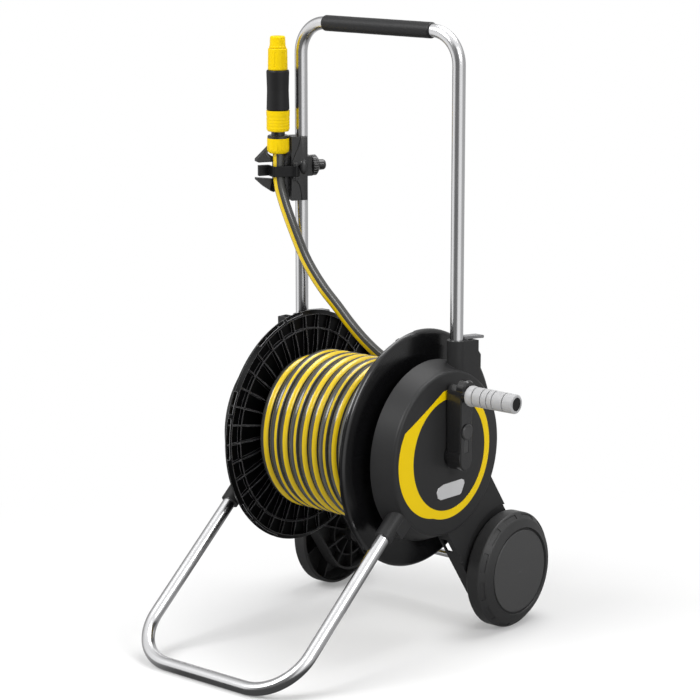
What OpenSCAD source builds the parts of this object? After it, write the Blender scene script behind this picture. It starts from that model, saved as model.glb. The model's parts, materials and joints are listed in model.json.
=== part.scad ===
// Garden hose reel cart: two moulded side plates carry a crank-driven hose drum, a push handle
// that slides down into them, a foot loop and two wheels. A clip on the handle parks the nozzle.
// Frame: X runs along the drum axis towards the crank, Y towards the wheels, Z up from the floor.

/* [Hose drum] */
// Height of the drum axis above the floor
drum_z = 273; // [262:1:285]
// Radius of the two drum flanges
flange_r = 164; // [150:1:168]
// Clear width between the flanges, where the hose is wound
winding_w = 191; // [188:1:194]
// Depth of a flange, from the edges of its ribs to its shoulder
flange_depth = 11.5; // [10:0.5:14]
// Wall of a flange
flange_wall = 2.5; // [2:0.1:3.5]
// Radial ribs on the hose side of a flange
flange_ribs = 36; // [24:6:48]
// Thickness of a rib
rib_t = 1.6; // [1.2:0.1:2.4]
// Radius of the ring that ties the ribs together
rib_ring_r = 138; // [128:1:142]
// Radius of the barrel
barrel_r = 64; // [58:0.5:65]
// Wall of the barrel
barrel_wall = 3; // [2.4:0.1:4]

/* [Hose] */
// Outside diameter of the garden hose
hose_d = 16; // [15:0.1:16.4]
// Layers of hose on the barrel
hose_layers = 3; // [2:1:3]
// Radial step from one layer to the next
layer_step = 16.5; // [16:0.05:16.8]

/* [Side plates] */
// Gap between a drum flange and the rim of the side plate
rim_gap = 15; // [12:0.5:18]
// Radius of the side plate's dish at its rim
dish_r = 125; // [120:1:130]
// Radius of the dish at its outer face
dish_face_r = 114; // [110:1:117]
// Depth of the dish from rim to face
dish_depth = 32; // [31:0.5:36]
// Rise of the domed face
dish_dome = 4; // [2:0.5:6]
// Rounding of the dish's edge
dish_edge = 5; // [3:0.5:8]
// Wall of a side plate
plate_wall = 3; // [2.5:0.1:3.5]
// Half width of the leg that carries a wheel
leg_half_w = 57; // [50:1:60]
// Depth of the leg from its open side to its face
leg_depth = 19; // [17:0.5:21]
// Stiffening ribs inside the dish
dish_ribs = 16; // [8:4:20]

/* [Tubes] */
// Outside diameter of the handle and foot tubes
tube_d = 18; // [16:0.5:19]
// Wall of the tubes
tube_wall = 1.5; // [1:0.1:2]
// Distance from the dish's rim out to the axes of the tubes
tube_inset = 17; // [16.5:0.5:18]
// Height of the handle's top bar
handle_z = 836; // [800:1:860]
// Distance of the handle behind the drum axis
handle_y = 36.5; // [34:0.5:40]
// Bend radius of the handle
handle_bend = 44; // [36:1:60]
// Length of a handle leg, from the top bar down
handle_leg = 496; // [480:1:510]
// Height of a handle socket above the drum axis
socket_top = 149; // [145:1:155]
// Length of the grip sleeve on the top bar
sleeve_len = 190; // [150:1:200]
// Diameter of the grip sleeve
sleeve_d = 22; // [20:0.5:26]
// Travel of the handle down into the side plates
handle_travel = 120; // [90:5:125]
// Distance of the foot bar in front of the drum axis
foot_y = 317; // [300:1:330]
// Slope of the foot loop
foot_slope = 40.4; // [39:0.1:42]
// Bend radius of the foot loop
foot_bend = 68; // [50:1:75]
// Length of a foot leg along its slope
foot_leg = 346; // [335:1:355]
// Distance along the slope at which the foot enters its socket
foot_socket = 261; // [250:1:270]

/* [Wheels] */
// Radius of a wheel
wheel_r = 82; // [75:1:88]
// Width of a wheel
wheel_w = 33; // [28:1:33]
// Distance of the axle behind the drum axis
axle_y = 132.5; // [125:0.5:140]
// Diameter of the steel axle
axle_d = 10; // [8:0.5:12]
// Gap between a leg and its wheel
wheel_gap = 5; // [4:0.5:7]
// Radius of the disc that covers the hub
wheel_disc_r = 60; // [52:1:61]

/* [Crank] */
// Height of the crank grip above the drum axis
crank_throw = 86; // [80:1:95]
// Width of the crank arm
crank_w = 25.6; // [24:0.2:28]
// Thickness of the crank arm
crank_t = 24.5; // [22:0.5:28]
// Gap between the crank arm and the domed face
crank_gap = 1.5; // [1:0.1:3]
// Length of the grip
grip_len = 78.5; // [74:0.5:90]
// Radius of the grip at its root
grip_r = 13.4; // [12.8:0.1:14]
// Radius of the drive shaft
shaft_r = 10; // [9:0.5:11]
// Height of the lock slider above the drum axis
slider_z = 35; // [33:0.5:38]
// Radius of the lock slider's button
slider_r = 10.4; // [9:0.1:11]
// Travel of the lock slider on the crank
slider_travel = 10; // [6:1:10]

/* [Hose holder] */
// Height of the middle of the holder
holder_z = 632; // [622:1:650]
// Turn of the holder about its handle leg, away from straight ahead
holder_turn = 28; // [20:1:35]
// Height of the holder
holder_h = 90; // [84:1:100]
// Distance from the handle leg to the parked hose
hose_reach = 34.7; // [34:0.1:36]
// Radius of the clamp knob
knob_r = 14.5; // [12:0.5:16]

/* [Nozzle] */
// Radius of the black sleeve of the nozzle
sleeve_r = 16; // [15:0.2:18]
// Length of the black sleeve
nozzle_sleeve_len = 55.7; // [50:0.1:60]
// Length of the yellow nozzle head
head_len = 30.4; // [26:0.2:34]
// Length of the adjusting tip
tip_len = 16.6; // [14:0.2:20]
// Length of the connector's sliding collar
collar_len = 29.3; // [26:0.1:32]
// Length of the union nut
nut_len = 21; // [18:0.5:24]

/* [Fits] */
// Radial clearance of turning and sliding fits
run_gap = 0.06; // [0.03:0.01:0.09]
// Clearance between pieces that only pass each other
free_gap = 0.3; // [0.3:0.05:0.5]

/* [Hidden] */
$fn = 64;

plastic = "#2b2b2c";
gloss = "#151515";
yellow = "#f2cf1d";
steel = "#b9bcbe";
grey = "#a9aaab";

tube_r = tube_d/2;
socket_wall = 4;
socket_r = tube_r + socket_wall;
flange_x = winding_w/2;
shoulder_x = flange_x + flange_depth;
rim_x = shoulder_x + rim_gap;
face_x = rim_x + dish_depth;
dome_x = face_x + dish_dome;
tube_x = rim_x + tube_inset;
socket_x = tube_x + socket_r;
leg_rim_x = rim_x + 2;
leg_face_x = leg_rim_x + leg_depth;
leg_step = 4;
arch_r = wheel_r + 8;
wheel_in_x = leg_face_x + wheel_gap;
wheel_out_x = wheel_in_x + wheel_w;
leg_len = norm([axle_y, drum_z - wheel_r]);
leg_angle = atan2(wheel_r - drum_z, axle_y);
coil_r = barrel_r + hose_d + (hose_layers - 1)*layer_step;
coil_half = flange_x - 2.5;
axle_r = axle_d/2;
hub_boss_r = 20;
boss_x = rim_x - 4;
bush_r = shaft_r + 4;
crank_x = dome_x + crank_gap;
arm_face_x = crank_x + crank_t;
neck_len = 5.3;
grip_gap = 0.3;
grip_x = arm_face_x + neck_len + grip_gap;
grip_end_x = grip_x + grip_len;
spigot_r = 9;
spigot_end_x = flange_x - 6;
plate_far = 13.6;
jaw_tip = 65;
holder_out = tube_x + plate_far*cos(holder_turn) + jaw_tip*sin(holder_turn);
origin_x = (grip_end_x - max(wheel_out_x, holder_out))/2;
origin_y = (axle_y + wheel_r - foot_y - tube_r)/2;
socket_z = drum_z + socket_top;
pivot_y = handle_y + 16;
pivot_z = socket_z - 4;
pad_h = 10;
pad_z = pivot_z - 5 - pad_h;
socket_lean = 0.1;
nut_z = holder_z + 22;
neck_z = nut_z + nut_len;
collar_z = neck_z + 9.8;
body_z = collar_z + collar_len;
head_z = body_z + nozzle_sleeve_len;
tip_z = head_z + head_len;

// Route of the free hose, from the back of the wound hose up to the holder, in the cart's frame
hose_route = [[76, 62, 166], [71, 85, 183], [64, 103, 205], [55, 116, 230], [44, 123, 257],
    [32, 124, 282], [18, 119, 309], [2, 108, 334], [-14, 93, 354], [-30, 76, 372],
    [-46, 62, 393], [-61, 50, 416], [-77, 40, 441], [-94, 32, 464], [-109, 26, 487],
    [-121, 21, 510], [-130, 16, 535], [-139, 11, 562], [-148, 8, 588], [-154, 6, 612],
    [-155, 6, 638], [-155, 6, 670]];

// An arc of points about a centre
function arc(c, r, a0, a1, n = 6) =
    [for (i = [0:n]) c + r*[cos(a0 + (a1 - a0)*i/n), sin(a0 + (a1 - a0)*i/n)]];
function unit(v) = v/norm(v);

// Puts the cart's own frame over the middle of its footprint
module placed() { translate([-origin_x, -origin_y, 0]) children(); }
// Turns local x, y and z into Y, Z and X
module yz() { rotate([90, 0, 90]) children(); }
// Puts a child on the drum axis
module at_drum() { translate([0, 0, drum_z]) children(); }
// Puts a child on the wheel axle
module at_axle() { translate([0, axle_y, wheel_r]) children(); }
// Mirrors a child to the left for a side of -1
module on_side(side) { mirror([side < 0 ? 1 : 0, 0, 0]) children(); }
// A body of revolution about X, from points given as radius and x
module lathe_x(points) { yz() rotate_extrude() polygon(points); }
// A body of revolution about Z, from points given as radius and z
module lathe_z(points) { rotate_extrude() polygon(points); }
// A cylinder along X
module rod_x(r, x0, x1) { translate([x0, 0, 0]) rotate([0, 90, 0]) cylinder(r = r, h = x1 - x0); }

// ---- Tubes ----

// A straight length of tube along Z
module tube_piece(len, r, wall) {
    difference() {
        cylinder(r = r, h = len);
        translate([0, 0, -1]) cylinder(r = r - wall, h = len + 2);
    }
}

// A U of tube in the XY plane: the bar lies on X and the legs run along Y
module u_tube(half_w, leg, bend, r, wall) {
    translate([bend - half_w, 0, 0]) rotate([0, 90, 0]) tube_piece(2*(half_w - bend), r, wall);
    for (side = [-1, 1]) on_side(side) {
        translate([half_w, bend, 0]) rotate([-90, 0, 0]) tube_piece(leg - bend, r, wall);
        translate([half_w - bend, bend, 0]) rotate([0, 0, -90]) rotate_extrude(angle = 90)
            translate([bend, 0]) difference() { circle(r); circle(r - wall); }
    }
}

// Local XY becomes the sloping plane of the foot loop, with the bar at the origin
module foot_frame() { translate([0, -foot_y, tube_r]) rotate([foot_slope, 0, 0]) children(); }
// Local XY becomes the upright plane of the handle, with the bar at the origin
module handle_frame() { translate([0, handle_y, handle_z]) rotate([-90, 0, 0]) children(); }

screw_s = foot_leg - 26;

module foot_tube() {
    color(steel) placed() difference() {
        foot_frame() u_tube(tube_x, foot_leg, foot_bend, tube_r, tube_wall);
        foot_frame() for (side = [-1, 1]) on_side(side)
            translate([tube_x, screw_s, 0]) rotate([0, -90, 0]) cylinder(r = 2, h = socket_r);
    }
}

module foot_screws() {
    color(steel) placed() foot_frame() for (side = [-1, 1]) on_side(side)
        translate([tube_x - socket_r, screw_s, 0]) {
            rotate([0, 90, 0]) cylinder(r = 2, h = socket_wall + tube_wall + 3);
            translate([-2.5, 0, 0]) rotate([0, 90, 0]) cylinder(r = 4, h = 2.5);
        }
}

module handle_tube() {
    color(steel) placed() handle_frame() u_tube(tube_x, handle_leg, handle_bend, tube_r, tube_wall);
}

module handle_sleeve() {
    color(gloss) placed() translate([0, handle_y, handle_z]) difference() {
        lathe_x([[0, -sleeve_len/2], [sleeve_d/2 - 1.5, -sleeve_len/2],
            [sleeve_d/2, -sleeve_len/2 + 1.5], [sleeve_d/2, sleeve_len/2 - 1.5],
            [sleeve_d/2 - 1.5, sleeve_len/2], [0, sleeve_len/2]]);
        rod_x(tube_r, -sleeve_len, sleeve_len);
    }
}

plug_len = 14;
module tube_plugs() {
    color(gloss) placed() for (side = [-1, 1])
        translate([side*tube_x, handle_y, handle_z - handle_leg]) {
            cylinder(r = tube_r - tube_wall, h = plug_len);
            translate([0, 0, -2]) cylinder(r = tube_r - 0.5, h = 2);
        }
}

// ---- Side plates ----

// Outline of the dish as radius and x, set in by a wall
function dish_outline(inset) = let (
        r = dish_face_r - inset, x = face_x - inset, e = max(dish_edge - inset, 1), flat = r - e)
    concat([[0, rim_x - 1 + (inset > 0 ? 0 : 1)], [dish_r - inset, rim_x - (inset > 0 ? 1 : 0)]],
        arc([r - e, x - e], e, 0, 90),
        [for (k = [7:-1:0]) [flat*k/8, x + dish_dome*(1 - pow(k/8, 4))]]);

// Outline of the wheel leg, a strip with a round end about the axle
module leg_outline(inset) {
    rotate(leg_angle) {
        translate([dish_face_r - 20, inset - leg_half_w])
            square([leg_len - dish_face_r + 20, 2*(leg_half_w - inset)]);
        translate([leg_len, 0]) circle(leg_half_w - inset);
    }
}
module arch(r) { rotate(leg_angle) translate([leg_len, 0]) circle(r); }

// The leg, with its raised face cut back in an arch round the wheel
module leg_solid(inset, start_x) {
    yz() translate([0, 0, start_x]) linear_extrude(leg_face_x - inset - start_x)
        leg_outline(inset);
    yz() translate([0, 0, start_x]) linear_extrude(leg_face_x + leg_step - inset - start_x)
        difference() { leg_outline(inset); arch(arch_r + inset); }
}

back_y = handle_y + 37.5;
// Flat box behind the handle socket, seen along X
module socket_outline(inset) {
    polygon([[handle_y, 60], [back_y - inset, 60], [back_y - inset, socket_top - 24],
        [back_y - 5 - inset, socket_top - 18], [back_y - 5 - inset, socket_top - inset],
        [handle_y, socket_top - inset]]);
}

// Column round a tube, from the drum axis' frame
module handle_column(r, z0, z1) {
    translate([tube_x, handle_y, z0]) cylinder(r = r, h = z1 - z0);
}
module foot_column(r, s0, s1) {
    translate([0, 0, -drum_z]) foot_frame() translate([tube_x, s0, 0]) rotate([-90, 0, 0])
        cylinder(r = r, h = s1 - s0);
}
foot_lip = 19;
foot_box_s = foot_socket + 15;
module foot_box(inset, start_x) {
    translate([0, 0, -drum_z]) foot_frame()
        translate([start_x, foot_box_s + inset, inset - foot_lip])
            cube([socket_x - inset - start_x, foot_leg - foot_box_s - 20, foot_lip - inset]);
}
column_low = handle_travel - handle_leg + handle_z - drum_z - 2*handle_travel - 12;

// One side plate about the drum axis, for the right side
module side_plate(hub_r) {
    difference() {
        union() {
            difference() {
                union() {
                    lathe_x(dish_outline(0));
                    leg_solid(0, leg_rim_x);
                    yz() translate([0, 0, leg_rim_x + 4])
                        linear_extrude(socket_x - leg_rim_x - 4) socket_outline(0);
                    foot_box(0, leg_rim_x + 3);
                }
                lathe_x(dish_outline(plate_wall));
                leg_solid(plate_wall, leg_rim_x - 1);
                yz() translate([0, 0, leg_rim_x - 1])
                    linear_extrude(socket_x - plate_wall - leg_rim_x + 1) socket_outline(plate_wall);
                foot_box(plate_wall, leg_rim_x - 1);
            }
            plate_ribs();
            rod_x(hub_boss_r, boss_x, dome_x - plate_wall);
            translate([0, axle_y, wheel_r - drum_z]) rod_x(14, leg_rim_x - 6, wheel_in_x - 0.5);
            handle_column(socket_r, column_low, socket_top);
            foot_column(socket_r - 0.5, foot_socket, foot_leg + 3);
            latch_ears();
        }
        rod_x(hub_r, 0, dome_x + 5);
        translate([0, axle_y, wheel_r - drum_z]) rod_x(axle_r, 0, wheel_in_x);
        handle_column(tube_r + run_gap, column_low - 1, socket_top + 1);
        foot_column(tube_r, foot_socket - 1, foot_leg);
        translate([0, 0, -drum_z]) foot_frame() translate([tube_x, screw_s, 0]) rotate([0, -90, 0])
            cylinder(r = 2, h = 3*socket_r);
        latch_pocket();
        yz() linear_extrude(socket_x + 1) polygon([[handle_y, socket_top],
            [back_y + 1, socket_top - socket_lean*(back_y + 1 - handle_y)],
            [back_y + 1, socket_top + 1], [handle_y, socket_top + 1]]);
        translate([rim_x + 2, -40, -dish_r - 1]) cube([6, 21, 16]);
        yz() translate([0, 0, leg_rim_x + 3]) linear_extrude(leg_depth - 8)
            polygon([[13, -127], [34, -133], [38, -150], [28, -150]]);
    }
}

// Ribs inside the plate: a ring and spokes in the dish, the same round the axle
module plate_ribs() {
    intersection() {
        lathe_x(dish_outline(plate_wall));
        union() {
            rib_ring(72);
            for (k = [0:dish_ribs - 1]) rotate([360*k/dish_ribs, 0, 0])
                translate([rim_x + 12, hub_boss_r - 2, -1]) cube([dish_depth, dish_r, 2]);
        }
    }
    intersection() {
        leg_solid(plate_wall, leg_rim_x);
        translate([0, axle_y, wheel_r - drum_z]) union() {
            rib_ring(36);
            for (k = [0:9]) rotate([36*k + leg_angle, 0, 0])
                translate([leg_rim_x + 4, 12, -1]) cube([leg_depth, 2*leg_half_w, 2]);
        }
    }
}
module rib_ring(r) {
    difference() {
        rod_x(r + 1, rim_x + 8, dome_x);
        rod_x(r - 1, rim_x + 7, dome_x + 1);
    }
}

// Ears in the socket for the latch pin, and the window that the latch sits in
ear_w = 3;
latch_w = 14;
module latch_ears() {
    for (x = [tube_x - latch_w/2 - ear_w, tube_x + latch_w/2])
        translate([x, pivot_y - 4.5, pivot_z - drum_z - 5])
            cube([ear_w, 9, socket_z - pivot_z + 5]);
}
// Room under the pad for its swing
pad_room = 3;
module latch_pocket() {
    translate([tube_x - latch_w/2, handle_y + 3, pad_z - drum_z - pad_room])
        cube([latch_w, pivot_y - handle_y + 2, socket_z - pad_z + pad_room + 1]);
    translate([0, pivot_y, pivot_z - drum_z])
        rod_x(1.5, tube_x - latch_w, tube_x + latch_w/2 + ear_w);
}

module side_plate_right() {
    color(plastic) placed() at_drum() difference() {
        side_plate(bush_r);
        ring_shape(0.05);
        badge_shape(0.05);
    }
}
// The left plate also has a lug in front of its handle socket, as high as the socket
lug_y = [-5, 12];
module side_plate_left() {
    color(plastic) placed() at_drum() on_side(-1) {
        side_plate(bush_r);
        difference() {
            translate([tube_x - 9, lug_y[0], dish_face_r]) cube([18, lug_y[1] - lug_y[0], 37]);
            lathe_x(dish_outline(1));
            translate([tube_x - 6, lug_y[0] + 3, dish_r + 4]) cube([12, lug_y[1] - lug_y[0] - 6, 40]);
        }
    }
}

// Yellow crescent let into the right face: round inside, carried forward and cut off slant outside
ring_in = 77.5;
ring_out = 89.5;
ring_shift = 21.5;
ring_front = 84;
ring_slant = 28.4;
ring_t = 1;
module ring_shape(grow) {
    intersection() {
        difference() {
            lathe_x(dish_outline(-0.2));
            lathe_x(dish_outline(ring_t + grow));
        }
        yz() linear_extrude(dome_x + 2) difference() {
            intersection() {
                union() {
                    circle(ring_out + grow);
                    translate([-ring_shift, 0]) circle(ring_front + grow);
                }
                rotate(ring_slant) translate([-2*ring_out, -2*ring_out])
                    square([4*ring_out, 2*ring_out + ring_front + grow]);
            }
            circle(ring_in - grow);
        }
    }
}
module ring_inlay() { color(yellow) placed() at_drum() ring_shape(0); }

// Bare plate below the crank, let into the face
module badge_shape(grow) {
    translate([0, 1, -50]) yz() translate([0, 0, dome_x - 1 - grow])
        linear_extrude(1.4 + grow) polygon([[-29.3 - grow, 1.6], [-26, 7.5], [-15, 10.4 + grow],
            [25, 10.4 + grow], [30, 8], [31.3 + grow, 3.5], [24.5, -9.2], [21, -10.8 - grow],
            [-20.5, -10.2 - grow], [-26.5, -6.5]]);
}
module badge_plate() { color(steel) placed() at_drum() badge_shape(0); }

// ---- Wheels ----

module wheel_axle() {
    color(steel) placed() at_axle() rod_x(axle_r, 5 - wheel_out_x, wheel_out_x - 5);
}

clip_x = wheel_out_x - 8;
module axle_clips() {
    color(steel) placed() at_axle() for (side = [-1, 1]) on_side(side) difference() {
        rod_x(axle_r + 4, clip_x + 0.2, clip_x + 1.2);
        rod_x(axle_r, clip_x - 1, clip_x + 2);
    }
}

// Slant shoulder between the tread and the face, with its moulded pockets
shoulder_in = [wheel_r - 8.5, wheel_out_x - 5];
shoulder_out = [wheel_r - 1, wheel_out_x - 12];
pockets = 12;
// A hollow wheel, open towards the leg, with its hub and spokes
module wheel() {
    wall = 4;
    x0 = wheel_in_x;
    x1 = wheel_out_x;
    middle = (shoulder_in + shoulder_out)/2;
    slant = atan2(shoulder_in[1] - shoulder_out[1], shoulder_in[0] - shoulder_out[0]);
    difference() {
        lathe_x([[0, x0 + 2], [wheel_r - 2, x0], [wheel_r, x0 + 2.5], [wheel_r, shoulder_out[1] - 1.5],
            shoulder_out, shoulder_in, [shoulder_in[0] - 1.5, shoulder_in[1] + 0.8],
            [wheel_disc_r + 2, x1], [wheel_disc_r + 0.5, x1 - 3], [0, x1 - 3]]);
        for (k = [0:pockets - 1]) yz() rotate(360*k/pockets) rotate_extrude(angle = 240/pockets)
            translate(middle) rotate(slant) square([6.5, 2], center = true);
        lathe_x([[axle_r + 9, x0 - 1], [wheel_r - wall, x0 - 1], [wheel_r - wall, x0 + 12],
            [wheel_r - wall - 7, x1 - 8], [axle_r + 9, x1 - 8]]);
    }
}

module wheel_piece(side) {
    color(plastic) placed() at_axle() on_side(side) difference() {
        union() {
            difference() {
                wheel();
                rod_x(axle_r + 6, clip_x, wheel_out_x);
            }
            for (k = [0:7]) rotate([45*k + 22.5, 0, 0])
                translate([wheel_in_x + 8, axle_r + 7, -1.25])
                    cube([wheel_w - 15, wheel_r - axle_r - 14, 2.5]);
        }
        rod_x(axle_r + run_gap, 0, wheel_out_x + 1);
    }
}
module wheel_left() { wheel_piece(-1); }
module wheel_right() { wheel_piece(1); }

// Domed cover disc, snapped into the wheel's face
module wheel_disc(side) {
    r = wheel_disc_r - 1.5;
    color(plastic) placed() at_axle() on_side(side) difference() {
        lathe_x(concat([[0, wheel_out_x - 3], [r, wheel_out_x - 3], [r, wheel_out_x - 1.5]],
            [for (k = [5:-1:0]) [(r - 1)*k/5, wheel_out_x - 0.8 + 0.7*(1 - pow(k/5, 2))]]));
        rod_x(axle_r + 5, wheel_out_x - 4, wheel_out_x - 2);
    }
}
module wheel_disc_left() { wheel_disc(-1); }
module wheel_disc_right() { wheel_disc(1); }

// ---- Drum ----

module drum_barrel() {
    color(plastic) placed() at_drum() difference() {
        union() {
            difference() {
                rod_x(barrel_r, -flange_x, flange_x);
                rod_x(barrel_r - barrel_wall, -flange_x - 1, flange_x + 1);
            }
            for (side = [-1, 1], k = [0:3]) on_side(side) rotate([90*k + 45, 0, 0])
                translate([0, screw_pitch_r, 0]) rod_x(5, flange_x - 22, flange_x);
        }
        for (side = [-1, 1], k = [0:3]) on_side(side) rotate([90*k + 45, 0, 0])
            translate([0, screw_pitch_r, 0]) rod_x(1.8, flange_x - 18, flange_x + 1);
        translate([8 - spigot_end_x, 0, -barrel_r - 1]) cylinder(r = hose_d/2 + 2, h = 20);
    }
}
screw_pitch_r = barrel_r - barrel_wall - 4.5;

// Web of a flange as radius and x, moved in by an offset
web_x = shoulder_x - 1.5;
hub_x = flange_x + 4;
function web_line(d) = [[0, hub_x], [barrel_r - 3.5, hub_x], [barrel_r, web_x - d],
    [barrel_r + 55, web_x - d],
    [flange_r - 33, shoulder_x - 0.8 - d], [flange_r - 20, shoulder_x - 0.2 - d],
    [flange_r - 13, shoulder_x - d]];
function rim_round(d) = arc([flange_r - 6, shoulder_x - 6], 6 - d, 90, 0);
// Thin edge of the rim on the hose side
lip_x = flange_x + 1.5;
lip_r = flange_r - 5;
// Edge of the ribs, lower towards the rim
rib_edge = [[flange_r - 2.3, flange_x + 4.8], [rib_ring_r, flange_x + 2.9], [coil_r + 3, flange_x]];

// One flange: a dished web, rolled rim with windows, and ribs on the hose side
module flange(bore_r) {
    difference() {
        union() {
            difference() {
                lathe_x(concat([[0, flange_x]], web_line(0), rim_round(0), [[lip_r, lip_x]]));
                lathe_x(concat([[barrel_r + 1.5, flange_x - 1], [barrel_r + 1.5, web_x - flange_wall]],
                    [for (p = web_line(flange_wall)) if (p[0] > barrel_r) p],
                    rim_round(flange_wall), [[lip_r - 1.2, lip_x], [lip_r - 1.2, flange_x - 1]]));
            }
            flange_rib_set();
            rod_x(16, flange_x - 2, shoulder_x + 5);
            difference() {
                rod_x(barrel_r - barrel_wall, flange_x - 6, flange_x + 1);
                rod_x(barrel_r - barrel_wall - 2.5, flange_x - 7, flange_x);
                for (k = [0:3]) rotate([90*k + 45, 0, 0])
                    translate([0, screw_pitch_r, 0]) rod_x(5.3, flange_x - 7, flange_x);
            }
        }
        rod_x(bore_r, 0, shoulder_x + 9);
        for (k = [0:3]) rotate([90*k + 45, 0, 0])
            translate([0, screw_pitch_r, 0]) rod_x(2, flange_x - 5, shoulder_x);
        rim_windows();
    }
}

// Radial ribs and one ring, standing from the web to the hose side
module flange_rib_set() {
    section = concat([[barrel_r + 0.5, flange_x], [barrel_r + 0.5, web_x - flange_wall/2]],
        [for (p = web_line(flange_wall/2)) if (p[0] > barrel_r) p],
        [[flange_r - 6, shoulder_x - flange_wall/2]], rib_edge);
    for (k = [0:flange_ribs - 1]) rotate([360*k/flange_ribs, 0, 0])
        translate([0, 0, -rib_t/2]) linear_extrude(rib_t) polygon([for (p = section) [p[1], p[0]]]);
    difference() {
        rod_x(rib_ring_r + rib_t/2, rib_edge[1][1], shoulder_x - flange_wall/2);
        rod_x(rib_ring_r - rib_t/2, flange_x - 1, shoulder_x);
    }
}

// Windows through the rim between its edge and its shoulder, in pairs
window_groups = 6;
window_pair = [[93, 104.5], [106.5, 127]];
module rim_windows() {
    for (k = [0:window_groups - 1], w = window_pair)
        rotate([360*k/window_groups + (w[0] + w[1])/2, 0, 0]) {
            half = (flange_r - 2)*sin((w[1] - w[0])/2);
            translate([lip_x + 1.5, lip_r - 0.7, -half])
                cube([shoulder_x - lip_x - 6, flange_r - lip_r + 4, 2*half]);
        }
}

module flange_left() {
    color(plastic) placed() at_drum() on_side(-1) flange(spigot_r + 4);
}
module flange_right() {
    color(plastic) placed() at_drum() difference() {
        flange(shaft_r);
    }
}

screw_len = hub_x - flange_x + 16;
module flange_screws() {
    color(steel) placed() at_drum() for (side = [-1, 1], k = [0:3]) on_side(side)
        rotate([90*k + 45, 0, 0]) translate([0, screw_pitch_r, 0]) {
            rod_x(1.8, hub_x - screw_len, hub_x);
            rod_x(3.6, hub_x, hub_x + 2.4);
        }
}

// Shaft that carries the right flange and the crank arm
shaft_end_x = crank_x + 12;
bolt_r = 2.5;
module drive_shaft() {
    color(steel) placed() at_drum() difference() {
        union() {
            rod_x(shaft_r, flange_x - 4, shaft_end_x);
            rod_x(shaft_r + 3, flange_x - 7, flange_x - 4);
        }
        rod_x(bolt_r + free_gap, 0, shaft_end_x + 1);
    }
}

module drive_bush() {
    color(grey) placed() at_drum() difference() {
        union() {
            rod_x(bush_r, boss_x, dome_x - 1);
            rod_x(bush_r + 3, boss_x - 5, boss_x);
        }
        rod_x(shaft_r + run_gap, 0, dome_x + 1);
    }
}

// ---- Water inlet on the left ----

module inlet_hub() {
    color(plastic) placed() at_drum() on_side(-1) difference() {
        union() {
            rod_x(bush_r, boss_x - 3, dome_x - 1);
            rod_x(bush_r + 3, boss_x - 5, boss_x);
            rod_x(spigot_r, spigot_end_x, boss_x);
            rod_x(spigot_r, dome_x - 1, dome_x + 14);
        }
        rod_x(5.5, spigot_end_x - 1, dome_x + 8);
        for (x = [spigot_end_x + 5, spigot_end_x + 12]) difference() {
            rod_x(spigot_r + 1, x, x + 2.6);
            rod_x(spigot_r - 2, x - 1, x + 4);
        }
    }
}

module hub_seals() {
    color(gloss) placed() at_drum() on_side(-1)
        for (x = [spigot_end_x + 5, spigot_end_x + 12]) translate([x + 1.3, 0, 0])
            yz() rotate_extrude() translate([spigot_r - 1, 0]) circle(0.98);
}

// Nut that holds the inlet hub against the left face
module hub_nut() {
    color(plastic) placed() at_drum() on_side(-1) difference() {
        rod_x(bush_r + 2, dome_x, dome_x + 2);
        rod_x(spigot_r, dome_x - 2, dome_x + 4);
        for (k = [0:5]) rotate([60*k, 0, 0]) translate([dome_x - 1, bush_r + 1, -2]) cube([5, 4, 4]);
    }
}

// Angled nipple that the supply hose clips on; it swivels on the hub
elbow_x = dome_x + 9;
module inlet_elbow() {
    color(plastic) placed() at_drum() on_side(-1) difference() {
        union() {
            rod_x(13, dome_x + 2.3, wheel_out_x - 1.5);
            translate([elbow_x, 0, -52]) lathe_z([[0, 0], [7, 0], [7.9, 1.5], [7.9, 8], [6.8, 9],
                [6.8, 11], [7.9, 12], [7.9, 28], [8.6, 29], [8.6, 32], [7.6, 34], [6.6, 35],
                [6.6, 52], [0, 52]]);
        }
        rod_x(spigot_r + run_gap, 0, dome_x + 14.3);
        translate([elbow_x, 0, -53]) cylinder(r = 4.5, h = 46);
    }
}

// Elbow inside the drum that turns on the hub's spigot and feeds the wound hose
module drum_inlet() {
    color(plastic) placed() at_drum() on_side(-1) difference() {
        union() {
            rod_x(spigot_r + 4, spigot_end_x - 16, shoulder_x + 5);
            translate([spigot_end_x - 8, 0, 0]) rotate([180, 0, 0])
                lathe_z([[0, 0], [8, 0], [8, 16], [6.4, 17], [6.4, 20], [6.9, 21], [6.2, 24],
                    [6.9, 25], [6.2, 28], [6.9, 29], [6.2, 32], [0, 32]]);
        }
        rod_x(spigot_r + run_gap, spigot_end_x - 1, shoulder_x + 6);
        rod_x(5.5, spigot_end_x - 12, spigot_end_x);
        translate([spigot_end_x - 8, 0, -33]) cylinder(r = 4, h = 33);
    }
}

module tail_nut() {
    color(yellow) placed() at_drum() on_side(-1) translate([spigot_end_x - 8, 0, -32.5])
        difference() {
            cylinder(r = 12.5, h = 15);
            translate([0, 0, -1]) cylinder(r = 7, h = 18);
        }
}

// ---- Crank ----

// Outline of the crank arm in Y and Z, set in by a wall; it hangs a little below the shaft
arm_shift = 2.5;
arm_drop = 6.5;
module arm_outline(inset) {
    w = crank_w/2 - inset;
    translate([arm_shift, 0]) {
        translate([0, -arm_drop]) circle(w);
        translate([0, crank_throw]) circle(w);
        translate([-w, -arm_drop]) square([2*w, crank_throw + arm_drop]);
    }
}
module arm_plate(inset, x0, x1) {
    yz() translate([0, 0, x0]) linear_extrude(x1 - x0) arm_outline(inset);
}

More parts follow.
